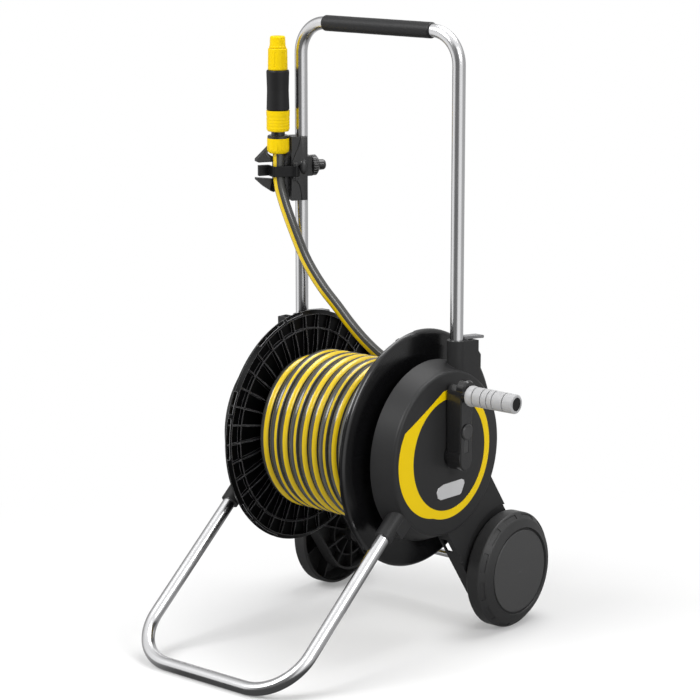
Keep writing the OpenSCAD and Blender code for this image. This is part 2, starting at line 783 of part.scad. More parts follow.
slot_w = 9;
face_t = 3;
tail_len = 29;
knuckle_r = 12.4;
module crank_arm() {
    color(gloss) placed() at_drum() difference() {
        union() {
            difference() {
                union() {
                    arm_plate(0, crank_x + 1.5, arm_face_x - 1.5);
                    arm_plate(0.6, crank_x, arm_face_x - 0.6);
                    arm_plate(1.5, crank_x, arm_face_x);
                }
                arm_plate(2.6, crank_x - 1, arm_face_x - face_t);
            }
            rod_x(shaft_r + 2, crank_x, arm_face_x - 1);
            translate([0, 0, crank_throw]) {
                rod_x(8, crank_x, arm_face_x - 1);
                rod_x(10, arm_face_x - 1, arm_face_x + neck_len);
            }
            translate([0, arm_shift, crank_throw + 7.5]) lathe_x([[0, arm_face_x - 10],
                [knuckle_r - 1.5, arm_face_x - 10], [knuckle_r, arm_face_x - 8.5],
                [knuckle_r, arm_face_x + 1.5], [knuckle_r - 2, arm_face_x + 4], [0, arm_face_x + 4]]);
            for (z = [18, 64]) translate([crank_x + 2, arm_shift + 1 - crank_w/2, z])
                cube([6, crank_w - 2, 1.8]);
        }
        rod_x(shaft_r, crank_x - 1, shaft_end_x);
        rod_x(bolt_r, shaft_end_x - 1, shaft_end_x + 6);
        translate([0, 0, crank_throw]) rod_x(spindle_r, crank_x - 1, grip_x);
        translate([arm_face_x - face_t - 0.5, arm_shift - slot_w/2, slider_z - tail_len - 0.2])
            cube([face_t + 2, slot_w, tail_len + slider_travel + 0.4]);
    }
}

// Through bolt that draws the crank arm onto the shaft
module crank_screw() {
    color(steel) placed() at_drum() {
        rod_x(bolt_r, flange_x - 8, shaft_end_x + 5.5);
        rod_x(bolt_r + 2.5, flange_x - 11, flange_x - 7);
    }
}

spindle_r = 4;
module grip_spindle() {
    color(steel) placed() at_drum() translate([0, 0, crank_throw]) {
        rod_x(spindle_r, crank_x + 0.5, grip_end_x - 9);
        rod_x(spindle_r + 2.4, grip_end_x - 9, grip_end_x - 7);
    }
}

// Button in the crank's face, with a tail that fills the slot and a foot behind the face
module crank_slider() {
    foot = [-12, -1];
    tail_w = slot_w - 2*free_gap;
    color(plastic) placed() at_drum() translate([0, arm_shift, slider_z]) {
        lathe_x([[0, arm_face_x + 0.2], [slider_r, arm_face_x + 0.2],
            [slider_r, arm_face_x + 2], [slider_r - 1, arm_face_x + 2.8],
            [slider_r - 2.5, arm_face_x + 2.4], [0, arm_face_x + 2.4]]);
        translate([arm_face_x - face_t - 0.3, -tail_w/2, -tail_len]) cube([face_t, tail_w, tail_len]);
        translate([arm_face_x - face_t - 0.3, run_gap - slot_w/2, foot[0]])
            cube([face_t + 0.7, slot_w - 2*run_gap, foot[1] - foot[0]]);
        translate([arm_face_x - face_t - 2.3, -slot_w/2 - 1.5, foot[0]])
            cube([2, slot_w + 3, foot[1] - foot[0]]);
    }
}

groove_x = [12.5, 26.5, 36.5, 45, 62];
cap_r = 9.1;
grip_tip_r = 13.1;
ball_r = 14.3;
// Grip with a ball-shaped root, five grooves and a rounded rim round its end cap
module crank_grip() {
    color(grey) placed() at_drum() translate([0, 0, crank_throw]) difference() {
        lathe_x(concat([[0, grip_x], [ball_r - 5, grip_x]],
            arc([ball_r - 5, grip_x + 5], 5, -90, 0), [[ball_r - 0.3, grip_x + 8], [grip_r, grip_x + 11.5]],
            [[grip_tip_r, grip_end_x - 5]], arc([grip_tip_r - 2.5, grip_end_x - 2.5], 2.5, 0, 90),
            [[0, grip_end_x]]));
        rod_x(spindle_r + run_gap, grip_x - 1, grip_end_x);
        rod_x(cap_r, grip_end_x - 9.3, grip_end_x + 1);
        for (x = groove_x) translate([grip_x + x, 0, 0]) difference() {
            rod_x(grip_r + 1, 0, 1.4);
            rod_x(grip_r - 1.4 - (grip_r - grip_tip_r)*x/grip_len, -1, 3);
        }
    }
}
module grip_cap() {
    color(plastic) placed() at_drum() translate([0, 0, crank_throw])
        rod_x(cap_r, grip_end_x - 6.6, grip_end_x - 1);
}

// ---- Handle latches ----

// Place of the torsion spring along the latch pin
spring_x = 5.3;

// Lever whose pad clamps the handle leg; lifting its plate swings the pad clear
plate_end = 36.5;
module latch(side) {
    half = latch_w/2 - free_gap;
    top = socket_z - pivot_z + 0.6;
    pad_y = tube_r - 3 - pivot_y + handle_y;
    tip = top - socket_lean*(plate_end - pad_y);
    color(grey) placed() on_side(side) translate([tube_x, pivot_y, pivot_z]) difference() {
        union() {
            rod_x(3.8, -half, spring_x - free_gap);
            yz() translate([0, 0, -5]) linear_extrude(9.5) polygon([
                [pad_y, pad_z - pivot_z], [-1.5, pad_z - pivot_z], [0.5, -3], [0, 0], [-3.5, 0],
                [-4.5, pad_z + pad_h - pivot_z], [pad_y, pad_z + pad_h - pivot_z]]);
            yz() translate([0, 0, -half]) linear_extrude(half + 4.5)
                polygon([[-3.6, 0], [3.6, 0], [4.6, top + 0.5], [-4.6, top + 0.5]]);
            yz() translate([0, 0, -half]) linear_extrude(2*half) polygon(concat(
                [[pad_y, top], [plate_end - 2.3, tip - 0.2]],
                arc([plate_end - 2.3, tip + 1.8], 2.3, -80, 80, 4), [[pad_y, top + 3.8]]));
        }
        rod_x(1.5 + run_gap, -latch_w, latch_w);
        translate([0, handle_y - pivot_y, 0]) {
            translate([0, 0, pad_z - pivot_z - 5]) cylinder(r = tube_r + 0.1, h = pad_h + 6);
            translate([0, 0, 0.5]) cylinder(r = tube_r + 2.4, h = 20);
        }
    }
}
module latch_left() { latch(-1); }
module latch_right() { latch(1); }

module latch_pins() {
    color(steel) placed() for (side = [-1, 1]) on_side(side)
        translate([tube_x, pivot_y, pivot_z]) rod_x(1.5, -latch_w/2 - ear_w, latch_w/2 + ear_w);
}

// Torsion springs on the pins, wound close
module latch_springs() {
    color(steel) placed() for (side = [-1, 1]) on_side(side)
        translate([tube_x + spring_x, pivot_y, pivot_z])
            lathe_x([[1.6, 0], [2.6, 0], [2.9, 0.3], [2.6, 0.6], [2.9, 0.9], [2.6, 1.2], [1.6, 1.2]]);
}

// ---- Hose holder on the left handle leg ----

// Local frame of the holder: Z up the leg, -Y out to the parked hose
module holder_frame() {
    placed() translate([-tube_x, handle_y, holder_z]) rotate([0, 0, -holder_turn]) children();
}

gate_pin_s = 14.5;
gate_pin_x = 15.5;
gate_h = 15.5;
gate_z = -3;
knob_z = 2.5;
jaw_in = 39;
// Clamp round the leg, open to the rear, with two jaws beside the parked hose
module holder_body() {
    half = holder_h/2;
    color(plastic) holder_frame() difference() {
        union() {
            translate([-13, -19, -half]) cube([24.5, 23.6, holder_h]);
            translate([-11, 0, knob_z - 14]) cube([20, 13, 28]);
            translate([-plate_far, -hose_reach, -half]) cube([plate_far + 3, hose_reach - 12, holder_h]);
            rotate([90, 0, -90]) translate([0, 0, plate_far - 9]) linear_extrude(9)
                polygon([[0, half], [32, half], [46, 31.5], [jaw_tip, 14], [jaw_tip, 10.5],
                    [jaw_tip - 3, 9], [jaw_in, 9], [jaw_in, -15], [jaw_tip - 3, -12.5],
                    [jaw_tip, -12], [jaw_tip, -15], [54, -25], [42, -33], [32, -37.5], [22, -half],
                    [0, -half]]);
            for (z = [-gate_h/2 - 4, gate_h/2]) translate([6, -gate_pin_s - 4, z + gate_z])
                cube([gate_pin_x - 6, 8, 4]);
            for (z = [-gate_h/2 - 4, gate_h/2]) translate([gate_pin_x, -gate_pin_s, z + gate_z])
                cylinder(r = 4, h = 4);
        }
        translate([0, 0, -half - 1]) cylinder(r = tube_r + run_gap, h = holder_h + 2);
        translate([0, -hose_reach, -half - 1]) cylinder(r = hose_d/2 + 0.8, h = holder_h + 2);
        translate([0, -hose_reach, nut_z - holder_z - 1.5])
            cylinder(r = nut_r + 1.5, h = holder_h);
        translate([0, -hose_reach, nut_z - holder_z - 13.5])
            cylinder(r1 = hose_d/2 + 0.8, r2 = nut_r + 1.5, h = 12.1);
        translate([0, -hose_reach, -half - 1])
            cylinder(r1 = 17, r2 = hose_d/2 + 0.8, h = 28);
        translate([gate_pin_x, -gate_pin_s, gate_z - 20]) cylinder(r = 1.5, h = 40);
        translate([gate_pin_x - 5, -gate_pin_s - 8, gate_z - gate_h/2]) cube([10, 14, gate_h]);
        translate([0, 0, knob_z]) rotate([-90, 0, 0]) cylinder(r = stud_r + run_gap, h = 20);
    }
}

module gate_pin() {
    color(steel) holder_frame() translate([gate_pin_x, -gate_pin_s, gate_z - gate_h/2 - 4])
        cylinder(r = 1.5, h = gate_h + 8);
}

// Gate that closes round the hose and snaps into the far jaw
module hose_gate() {
    r = hose_d/2;
    near = r + 1;
    gate_end = 60.5;
    out = hose_reach + r + 1;
    color(gloss) holder_frame() translate([0, 0, gate_z]) difference() {
        union() {
            translate([gate_pin_x, -gate_pin_s, free_gap - gate_h/2])
                cylinder(r = 4, h = gate_h - 2*free_gap);
            translate([0, 0, free_gap - gate_h/2]) linear_extrude(gate_h - 2*free_gap)
                polygon([[gate_pin_x - 2, -gate_pin_s], [gate_pin_x + 3, -gate_pin_s],
                    [gate_pin_x, -gate_pin_s - 8], [near + 2.5, -out - 1.5], [near + 1, -out - 2.7],
                    [-r, -out - 2.7], [-r + 1, -gate_end], [-r - 6, -gate_end],
                    [-r - 6, -out - 1.5], [-r - 1, -out], [near - 1, -out], [near, -out + 1],
                    [near, -gate_pin_s - 8]]);
        }
        translate([gate_pin_x, -gate_pin_s, -20]) cylinder(r = 1.5 + run_gap, h = 40);
    }
}

stud_r = 3;
module clamp_stud() {
    color(steel) holder_frame() translate([0, tube_r + free_gap, knob_z]) rotate([-90, 0, 0])
        cylinder(r = stud_r, h = 16);
}

// Knurled knob with a round end
module clamp_knob() {
    color(gloss) holder_frame() translate([0, 13.4, knob_z]) rotate([-90, 0, 0]) difference() {
        union() {
            lathe_z(concat([[0, 0], [knob_r - 1, 0], [knob_r, 1], [knob_r, 7]],
                [[knob_r - 3.5, 10], [7.6, 10.5], [7.4, 18]], arc([3.4, 18], 4, 0, 90),
                [[0, 22]]));
        }
        translate([0, 0, -1]) cylinder(r = stud_r, h = 13);
        for (k = [0:23]) rotate(15*k) translate([knob_r + 0.5, 0, -1]) cylinder(r = 1.2, h = 9);
    }
}

// ---- Nozzle and hose connector, parked on the holder ----

nut_r = 15.7;
module at_hose(z) {
    holder_frame() translate([0, -hose_reach, z - holder_z]) children();
}

// Union nut with its grip flutes
module connector_nut() {
    color(yellow) at_hose(nut_z) difference() {
        lathe_z([[0, 0], [nut_r - 3.5, 0], [nut_r - 1, 2], [nut_r, 5], [nut_r - 0.2, nut_len],
            [0, nut_len]]);
        translate([0, 0, -1]) cylinder(r = hose_d/2 + 0.5, h = nut_len - 3);
        translate([0, 0, nut_len - 5]) cylinder(r = 12, h = 6);
        for (k = [0:17]) rotate(20*k) translate([nut_r + 0.9, 0, 5]) cylinder(r = 1.3, h = nut_len);
    }
}

// Black body: barb in the hose, flange above the nut, neck under the collar
module connector_body() {
    color(gloss) at_hose(neck_z) difference() {
        lathe_z([[0, -4.5], [11.8, -4.5], [11.8, 0], [nut_r - 0.7, 0], [nut_r - 0.7, 3],
            [nut_r - 2.2, 4.2], [9.6, 4.2], [9.6, 24], [0, 24]]);
        translate([0, 0, -5]) cylinder(r = 5, h = 30);
        translate([0, 0, 12]) cylinder(r = 8, h = 13);
    }
}

// Sliding collar of the snap connector
module connector_collar() {
    color(yellow) at_hose(collar_z) difference() {
        lathe_z(concat([[0, 0], [14.6, 0], [15.6, 1.6]],
            [for (k = [0:3]) each [[15.9, 3 + 4.2*k], [16.2, 4 + 4.2*k], [16.2, 5.4 + 4.2*k],
                [15.9, 6.4 + 4.2*k]]],
            [[16.4, collar_len - 6], [16.4, collar_len - free_gap], [0, collar_len - free_gap]]));
        translate([0, 0, -1]) cylinder(r = 9.6 + run_gap, h = collar_len - 7);
        translate([0, 0, collar_len - 9]) cylinder(r = 12, h = 12);
    }
}

// Nozzle body: plug into the connector and black rubber sleeve
module nozzle_body() {
    color(gloss) at_hose(body_z) difference() {
        union() {
            lathe_z([[0, 0], [sleeve_r - 1, 0], [sleeve_r, 1.5],
                [sleeve_r - 0.8, nozzle_sleeve_len/2], [sleeve_r, nozzle_sleeve_len - 2],
                [sleeve_r - 0.8, nozzle_sleeve_len], [0, nozzle_sleeve_len]]);
            translate([0, 0, -15]) lathe_z([[0, 0], [7.8, 0], [7.8, 4], [6.8, 5], [6.8, 7],
                [7.8, 8], [7.8, 12], [11.5, 12], [11.5, 16], [0, 16]]);
        }
        translate([0, 0, -16]) cylinder(r = 4.5, h = nozzle_sleeve_len + 10);
        translate([0, 0, nozzle_sleeve_len - 14]) cylinder(r = 11 + run_gap, h = 15);
        for (z = [14, 25, 36]) rotate(-90 + holder_turn - 20) translate([sleeve_r - 0.9, -7, z])
            cube([3, 14, 2]);
    }
}

// Yellow head that turns on the body
module nozzle_head() {
    color(yellow) at_hose(head_z) difference() {
        union() {
            lathe_z([[0, free_gap], [13.4, free_gap], [13.8, 2], [13.4, head_len - 1.5],
                [12.4, head_len], [0, head_len]]);
            translate([0, 0, -12]) cylinder(r = 11, h = 13);
        }
        translate([0, 0, -13]) cylinder(r = 3.5, h = head_len + 14);
        translate([0, 0, head_len - 8]) cylinder(r = 7 + run_gap, h = 9);
        for (k = [0:7]) rotate(45*k + 10) translate([15, 0, 5]) cylinder(r = 2, h = head_len - 10);
    }
}

// Adjusting tip with its outlet
module nozzle_tip() {
    color(yellow) at_hose(tip_z) difference() {
        union() {
            lathe_z([[0, free_gap], [11.8, free_gap], [11.8, 2.5], [11.1, 3.2], [10.6, tip_len - 1.5],
                [9.4, tip_len], [0, tip_len]]);
            translate([0, 0, -7]) cylinder(r = 7, h = 8);
        }
        translate([0, 0, -8]) cylinder(r = 2.5, h = tip_len + 10);
        translate([0, 0, tip_len - 3]) cylinder(r = 5, h = 4);
    }
}

// ---- Hose ----

// The wound hose as one closed ring
module hose_coil() {
    color("#5d5d58") placed() at_drum() difference() {
        rod_x(coil_r, -coil_half, coil_half);
        rod_x(barrel_r + free_gap, -coil_half - 1, coil_half + 1);
    }
}

// Tube swept along a route
module swept(route, r, sides) {
    last = len(route) - 1;
    rings = [for (i = [0:last])
        let (t = unit(route[min(i + 1, last)] - route[max(i - 1, 0)]),
            a = unit(cross(t, [1, 0, 0])), b = cross(t, a))
        for (k = [0:sides - 1]) route[i] + r*(cos(360*k/sides)*a + sin(360*k/sides)*b)];
    walls = [for (i = [0:last - 1], k = [0:sides - 1])
        let (p = i*sides + k, q = i*sides + (k + 1) % sides)
        each [[p, p + sides, q + sides], [p, q + sides, q]]];
    first_cap = [for (k = [0:sides - 1]) k];
    last_cap = [for (k = [sides - 1:-1:0]) last*sides + k];
    polyhedron(rings, concat(walls, [first_cap, last_cap]), convexity = 4);
}

module hose_span() { color("#5d5d58") placed() swept(hose_route, hose_d/2, 12); }

side_plate_left();
side_plate_right();
ring_inlay();
badge_plate();
foot_tube();
foot_screws();
wheel_axle();
axle_clips();
drive_bush();
inlet_hub();
hub_nut();
hub_seals();
latch_pins();
latch_springs();
drum_barrel();
flange_left();
flange_right();
flange_screws();
drive_shaft();
drum_inlet();
tail_nut();
crank_arm();
crank_screw();
grip_spindle();
crank_slider();
crank_grip();
grip_cap();
wheel_left();
wheel_right();
wheel_disc_left();
wheel_disc_right();
handle_tube();
handle_sleeve();
tube_plugs();
latch_left();
latch_right();
holder_body();
gate_pin();
hose_gate();
clamp_knob();
clamp_stud();
nozzle_body();
nozzle_head();
nozzle_tip();
connector_body();
connector_collar();
connector_nut();
inlet_elbow();
hose_coil();
hose_span();
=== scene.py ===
"""Garden hose reel cart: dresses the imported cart, winds its hose and lights it in a studio."""
import json
import logging
import math
from dataclasses import dataclass, field
from enum import Enum

import bmesh
import bpy
from mathutils import Matrix, Vector, noise


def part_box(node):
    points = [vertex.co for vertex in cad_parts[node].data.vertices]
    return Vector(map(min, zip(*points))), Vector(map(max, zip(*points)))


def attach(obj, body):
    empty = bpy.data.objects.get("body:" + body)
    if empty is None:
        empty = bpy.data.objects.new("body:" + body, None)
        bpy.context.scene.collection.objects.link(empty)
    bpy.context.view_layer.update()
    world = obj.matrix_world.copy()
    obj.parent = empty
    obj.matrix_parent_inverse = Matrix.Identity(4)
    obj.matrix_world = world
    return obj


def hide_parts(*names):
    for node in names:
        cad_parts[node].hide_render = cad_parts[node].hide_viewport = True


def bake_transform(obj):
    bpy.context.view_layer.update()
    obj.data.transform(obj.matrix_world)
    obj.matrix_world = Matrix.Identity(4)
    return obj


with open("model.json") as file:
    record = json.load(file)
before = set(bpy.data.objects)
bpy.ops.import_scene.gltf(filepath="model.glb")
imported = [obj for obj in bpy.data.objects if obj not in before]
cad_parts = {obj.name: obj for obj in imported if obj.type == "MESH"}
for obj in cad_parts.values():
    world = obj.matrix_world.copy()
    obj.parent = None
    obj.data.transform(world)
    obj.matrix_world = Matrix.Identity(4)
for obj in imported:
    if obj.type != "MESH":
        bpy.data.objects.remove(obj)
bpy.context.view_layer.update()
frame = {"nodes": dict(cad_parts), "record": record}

Socket = bpy.types.NodeSocket
Tree = bpy.types.NodeTree
Triple = tuple[float, float, float]
LOG = logging.getLogger("hose_reel_cart")
MM = 0.001
TURN = 2 * math.pi
WHITE = (1.0, 1.0, 1.0, 1.0)
BLACK = (0.0, 0.0, 0.0, 1.0)
# Pale grey that is mixed in along edges as a painted highlight
EDGE_HIGHLIGHT_GREY = (0.45, 0.45, 0.46, 1.0)
BODY_OF = {
    node: body
    for body, nodes in frame["record"]["behaviour"]["bodies"].items()
    for node in nodes
}


# ---- Shader graphs ----


class Graph:
    """Fills one node tree."""

    def __init__(self, tree: Tree) -> None:
        """Keeps the tree that the other methods fill.

        Args:
            tree: Node tree of a material, a world or a group.
        """
        self.tree = tree

    def feed(self, socket: Socket, value: object) -> None:
        """Links a socket to another one, or sets its value.

        Args:
            socket: Input that is fed.
            value: Output socket to link, a plain value to set, or None to leave it.
        """
        if isinstance(value, Socket):
            self.tree.links.new(value, socket)
        elif value is not None:
            socket.default_value = value

    def fill(self, node: bpy.types.Node, values: dict[str, object]) -> bpy.types.Node:
        """Feeds a node's inputs by name.

        Args:
            node: Node to feed.
            values: What feeds each input.

        Returns:
            The same node.
        """
        for key, value in values.items():
            self.feed(node.inputs[key], value)
        return node

    def node(self, kind: str, *values: object, **settings: object) -> bpy.types.Node:
        """Adds a shader node.

        Args:
            kind: Type of the node without its ShaderNode prefix.
            values: What feeds its inputs, in their order; None leaves an input alone.
            settings: Properties of the node itself.

        Returns:
            The new node.
        """
        made = self.tree.nodes.new("ShaderNode" + kind)
        for key, value in settings.items():
            setattr(made, key, value)
        for socket, value in zip(made.inputs, values):
            self.feed(socket, value)
        return made

    def math(self, operation: str, *values: object) -> Socket:
        """Adds a Math node.

        Args:
            operation: What it works out.
            values: What feeds its inputs.

        Returns:
            Its result.
        """
        return self.node("Math", *values, operation=operation).outputs[0]

    def noise(self, vector: object, scale: object, detail: float) -> Socket:
        """Adds a Noise texture.

        Args:
            vector: Where it is read.
            scale: How fine it is.
            detail: How many finer layers it has.

        Returns:
            Its value.
        """
        values = {"Vector": vector, "Scale": scale, "Detail": detail}
        return self.fill(self.node("TexNoise"), values).outputs[0]

    def spread(self, value: object, low: float, high: float, to_low: object,
               to_high: object) -> Socket:
        """Maps a value smoothly from one range to another.

        Args:
            value: What is mapped.
            low: Start of its range.
            high: End of its range.
            to_low: What the start becomes.
            to_high: What the end becomes.

        Returns:
            The mapped value.
        """
        made = self.node("MapRange", value, low, high, to_low, to_high,
                         interpolation_type="SMOOTHSTEP")
        return made.outputs[0]

    def blend(self, factor: object, first: object, second: object) -> Socket:
        """Mixes two colours.

        Args:
            factor: Share of the second colour.
            first: First colour.
            second: Second colour.

        Returns:
            The mixed colour.
        """
        made = self.node("Mix", data_type="RGBA")
        self.feed(made.inputs[0], factor)
        self.feed(made.inputs[6], first)
        self.feed(made.inputs[7], second)
        return made.outputs[2]

    def group(self, tree: Tree, **values: object) -> Socket:
        """Places a node group.

        Args:
            tree: The group's tree.
            values: What feeds its inputs, by their names in lower case.

        Returns:
            Its first output.
        """
        made = self.node("Group", node_tree=tree)
        return self.fill(made, {key.capitalize(): value for key, value in values.items()}).outputs[0]


def new_group(name: str, inputs: dict[str, str], outputs: dict[str, str]) -> tuple:
    """Starts a node group with named sockets.

    Args:
        name: Name of the group.
        inputs: Socket type suffix of each input, by name.
        outputs: Socket type suffix of each output, by name.

    Returns:
        The tree, its graph, its input sockets by name and its output node.
    """
    tree = bpy.data.node_groups.new(name, "ShaderNodeTree")
    for way, sockets in (("INPUT", inputs), ("OUTPUT", outputs)):
        for label, kind in sockets.items():
            tree.interface.new_socket(label, in_out=way, socket_type="NodeSocket" + kind)
    graph = Graph(tree)
    start = tree.nodes.new("NodeGroupInput")
    end = tree.nodes.new("NodeGroupOutput")
    return tree, graph, start.outputs, end.inputs


class SharedEffects:
    """The shader node groups that several finishes use, each built once."""

    fine_ratio = 3.1
    fine_share = 0.4
    cloud_scale = 28.0
    rub_scale = 210.0
    rub_share = 0.5
    smoothest = 0.03
    edge_facing = (0.80, 0.99)

    def __init__(self) -> None:
        """Builds every group."""
        self.drift = self.build_drift()
        self.grain = self.build_grain()
        self.handling = self.build_handling()
        self.edges = self.build_edge_highlights()

    @staticmethod
    def build_drift() -> Tree:
        """Builds the group that lets a colour drift lighter and darker over a surface.

        Returns:
            The group.
        """
        tree, graph, start, end = new_group(
            "colour drift", {"Vector": "Vector", "Colour": "Color", "Size": "Float", "Amount": "Float"},
            {"Colour": "Color"})
        scale = graph.math("DIVIDE", 1.0, start["Size"])
        cloud = graph.noise(start["Vector"], scale, 3.0)
        shift = graph.math("SUBTRACT", cloud, 0.5)
        gain = graph.math("MULTIPLY_ADD", shift, start["Amount"], 1.0)
        made = graph.node("VectorMath", start["Colour"], operation="SCALE")
        graph.feed(made.inputs["Scale"], gain)
        graph.feed(end["Colour"], made.outputs[0])
        return tree

    @classmethod
    def build_grain(cls) -> Tree:
        """Builds the group for the fine texture of a spark-eroded mould.

        Returns:
            The group.
        """
        tree, graph, start, end = new_group(
            "moulded grain", {"Vector": "Vector", "Size": "Float", "Depth": "Float"},
            {"Height": "Float"})
        scale = graph.math("DIVIDE", 1.0, start["Size"])
        coarse = graph.noise(start["Vector"], scale, 2.0)
        fine = graph.noise(start["Vector"], graph.math("MULTIPLY", scale, cls.fine_ratio), 1.0)
        both = graph.math("MULTIPLY_ADD", fine, cls.fine_share, coarse)
        graph.feed(end["Height"], graph.math("MULTIPLY", both, start["Depth"]))
        return tree

    @classmethod
    def build_handling(cls) -> Tree:
        """Builds the group for the faint cloudiness that handling leaves in a surface's gloss.

        Returns:
            The group.
        """
        tree, graph, start, end = new_group(
            "handling marks", {"Vector": "Vector", "Roughness": "Float", "Spread": "Float"},
            {"Roughness": "Float"})
        cloud = graph.noise(start["Vector"], cls.cloud_scale, 4.0)
        rub = graph.noise(start["Vector"], cls.rub_scale, 2.0)
        both = graph.math("MULTIPLY_ADD", rub, cls.rub_share, cloud)
        middle = 0.5 + cls.rub_share / 2
        shift = graph.math("SUBTRACT", both, middle)
        wide = graph.math("MULTIPLY_ADD", shift, start["Spread"], start["Roughness"])
        graph.feed(end["Roughness"], graph.math("MAXIMUM", wide, cls.smoothest))
        return tree

    @classmethod
    def build_edge_highlights(cls) -> Tree:
        """Builds the group that masks the edges which get a painted highlight.

        Returns:
            The group.
        """
        tree, graph, start, end = new_group("painted edge highlights", {"Radius": "Float"}, {"Mask": "Float"})
        round_over = graph.node("Bevel", start["Radius"], samples=6)
        flat = graph.node("NewGeometry").outputs["Normal"]
        facing = graph.node("VectorMath", round_over.outputs[0], flat,
                            operation="DOT_PRODUCT").outputs["Value"]
        graph.feed(end["Mask"], graph.spread(facing, *cls.edge_facing, 1.0, 0.0))
        return tree


EFFECTS = SharedEffects()


# ---- Finishes ----


@dataclass
class Skin:
    """The sockets that make a finish: its colour, roughness and height."""

    colour: Socket
    rough: Socket
    height: Socket


class Pattern(Enum):
    """What runs over a finish besides its grain."""

    PLAIN = "plain"
    DRAWN = "drawn along a tube"
    CELLS = "foam cells"


@dataclass(frozen=True)
class Finish:
    """One finish: its colour and gloss, how both drift, its grain, its pattern, its edges and the
    painted highlight along them.
    """

    name: str
    slot: str
    colour: Triple
    roughness: float
    metallic: float = 0.0
    specular: float = 0.3
    coat: float = 0.0
    drift: float = 0.10
    drift_size: float = 0.05
    grain_size: float = 0.0006
    grain_depth: float = 0.25
    gloss_spread: float = 0.08
    pattern: Pattern = Pattern.PLAIN
    edge_radius: float = 0.7 * MM
    # Share of painted highlight that is mixed in along the edges
    edge_highlight: float = 0.0
    coat_roughness: float = 0.08
    bump_strength: float = 0.35
    bump_distance: float = 0.1 * MM
    cell_scale: float = 1500.0
    cell_height: float = 2.0
    cell_rim: float = 0.4
    cell_shade: float = 0.35
    streak_scale: Triple = (900.0, 900.0, 12.0)
    streak_gloss: float = 0.16

    def material(self) -> bpy.types.Material:
        """Builds this finish's material, unless it has been built before.

        Returns:
            The material.
        """
        known = bpy.data.materials.get(self.name)
        if known is not None:
            return known
        made = bpy.data.materials.new(self.name)
        made.use_nodes = True
        made.diffuse_color = (*self.colour, 1.0)
        graph = Graph(made.node_tree)
        place = graph.node("TexCoord").outputs["Object"]
        skin = Skin(
            graph.group(EFFECTS.drift, vector=place, colour=(*self.colour, 1.0),
                        size=self.drift_size, amount=self.drift),
            graph.group(EFFECTS.handling, vector=place, roughness=self.roughness,
                        spread=self.gloss_spread),
            graph.group(EFFECTS.grain, vector=place, size=self.grain_size, depth=self.grain_depth))
        self.add_pattern(graph, place, skin)
        # Painted highlight: a pale grey is mixed into the colour along the edges that the Bevel node
        # finds
        if self.edge_highlight:
            edge_highlight_mask = graph.group(EFFECTS.edges, radius=self.edge_radius)
            lit = graph.math("MULTIPLY", edge_highlight_mask, self.edge_highlight)
            skin.colour = graph.blend(lit, skin.colour, EDGE_HIGHLIGHT_GREY)
        bump = graph.fill(graph.node("Bump"), {
            "Strength": self.bump_strength, "Distance": self.bump_distance, "Height": skin.height,
        })
        if self.edge_radius:
            rounded = graph.node("Bevel", self.edge_radius, samples=4)
            graph.feed(bump.inputs["Normal"], rounded.outputs[0])
        graph.fill(made.node_tree.nodes["Principled BSDF"], {
            "Base Color": skin.colour, "Roughness": skin.rough, "Normal": bump.outputs[0],
            "Metallic": self.metallic, "Specular IOR Level": self.specular,
            "Coat Weight": self.coat, "Coat Roughness": self.coat_roughness,
        })
        return made

    def add_pattern(self, graph: Graph, place: Socket, skin: Skin) -> None:
        """Adds this finish's pattern to its skin.

        Args:
            graph: The material's graph.
            place: Object coordinates.
            skin: Skin that it changes.
        """
        if self.pattern is Pattern.CELLS:
            cells = graph.fill(graph.node("TexVoronoi"), {"Vector": place, "Scale": self.cell_scale})
            depth = cells.outputs["Distance"]
            skin.height = graph.math("MULTIPLY_ADD", depth, self.cell_height, skin.height)
            # Painted shade: the low pits of the foam cells are darkened towards black
            dark = graph.spread(depth, 0.0, self.cell_rim, self.cell_shade, 0.0)
            skin.colour = graph.blend(dark, skin.colour, BLACK)
        elif self.pattern is Pattern.DRAWN:
            streaks = graph.fill(graph.node("Mapping", place), {"Scale": self.streak_scale})
            lines = graph.noise(streaks.outputs[0], 1.0, 3.0)
            uneven = graph.math("SUBTRACT", lines, 0.5)
            skin.rough = graph.math("MULTIPLY_ADD", uneven, self.streak_gloss, skin.rough)


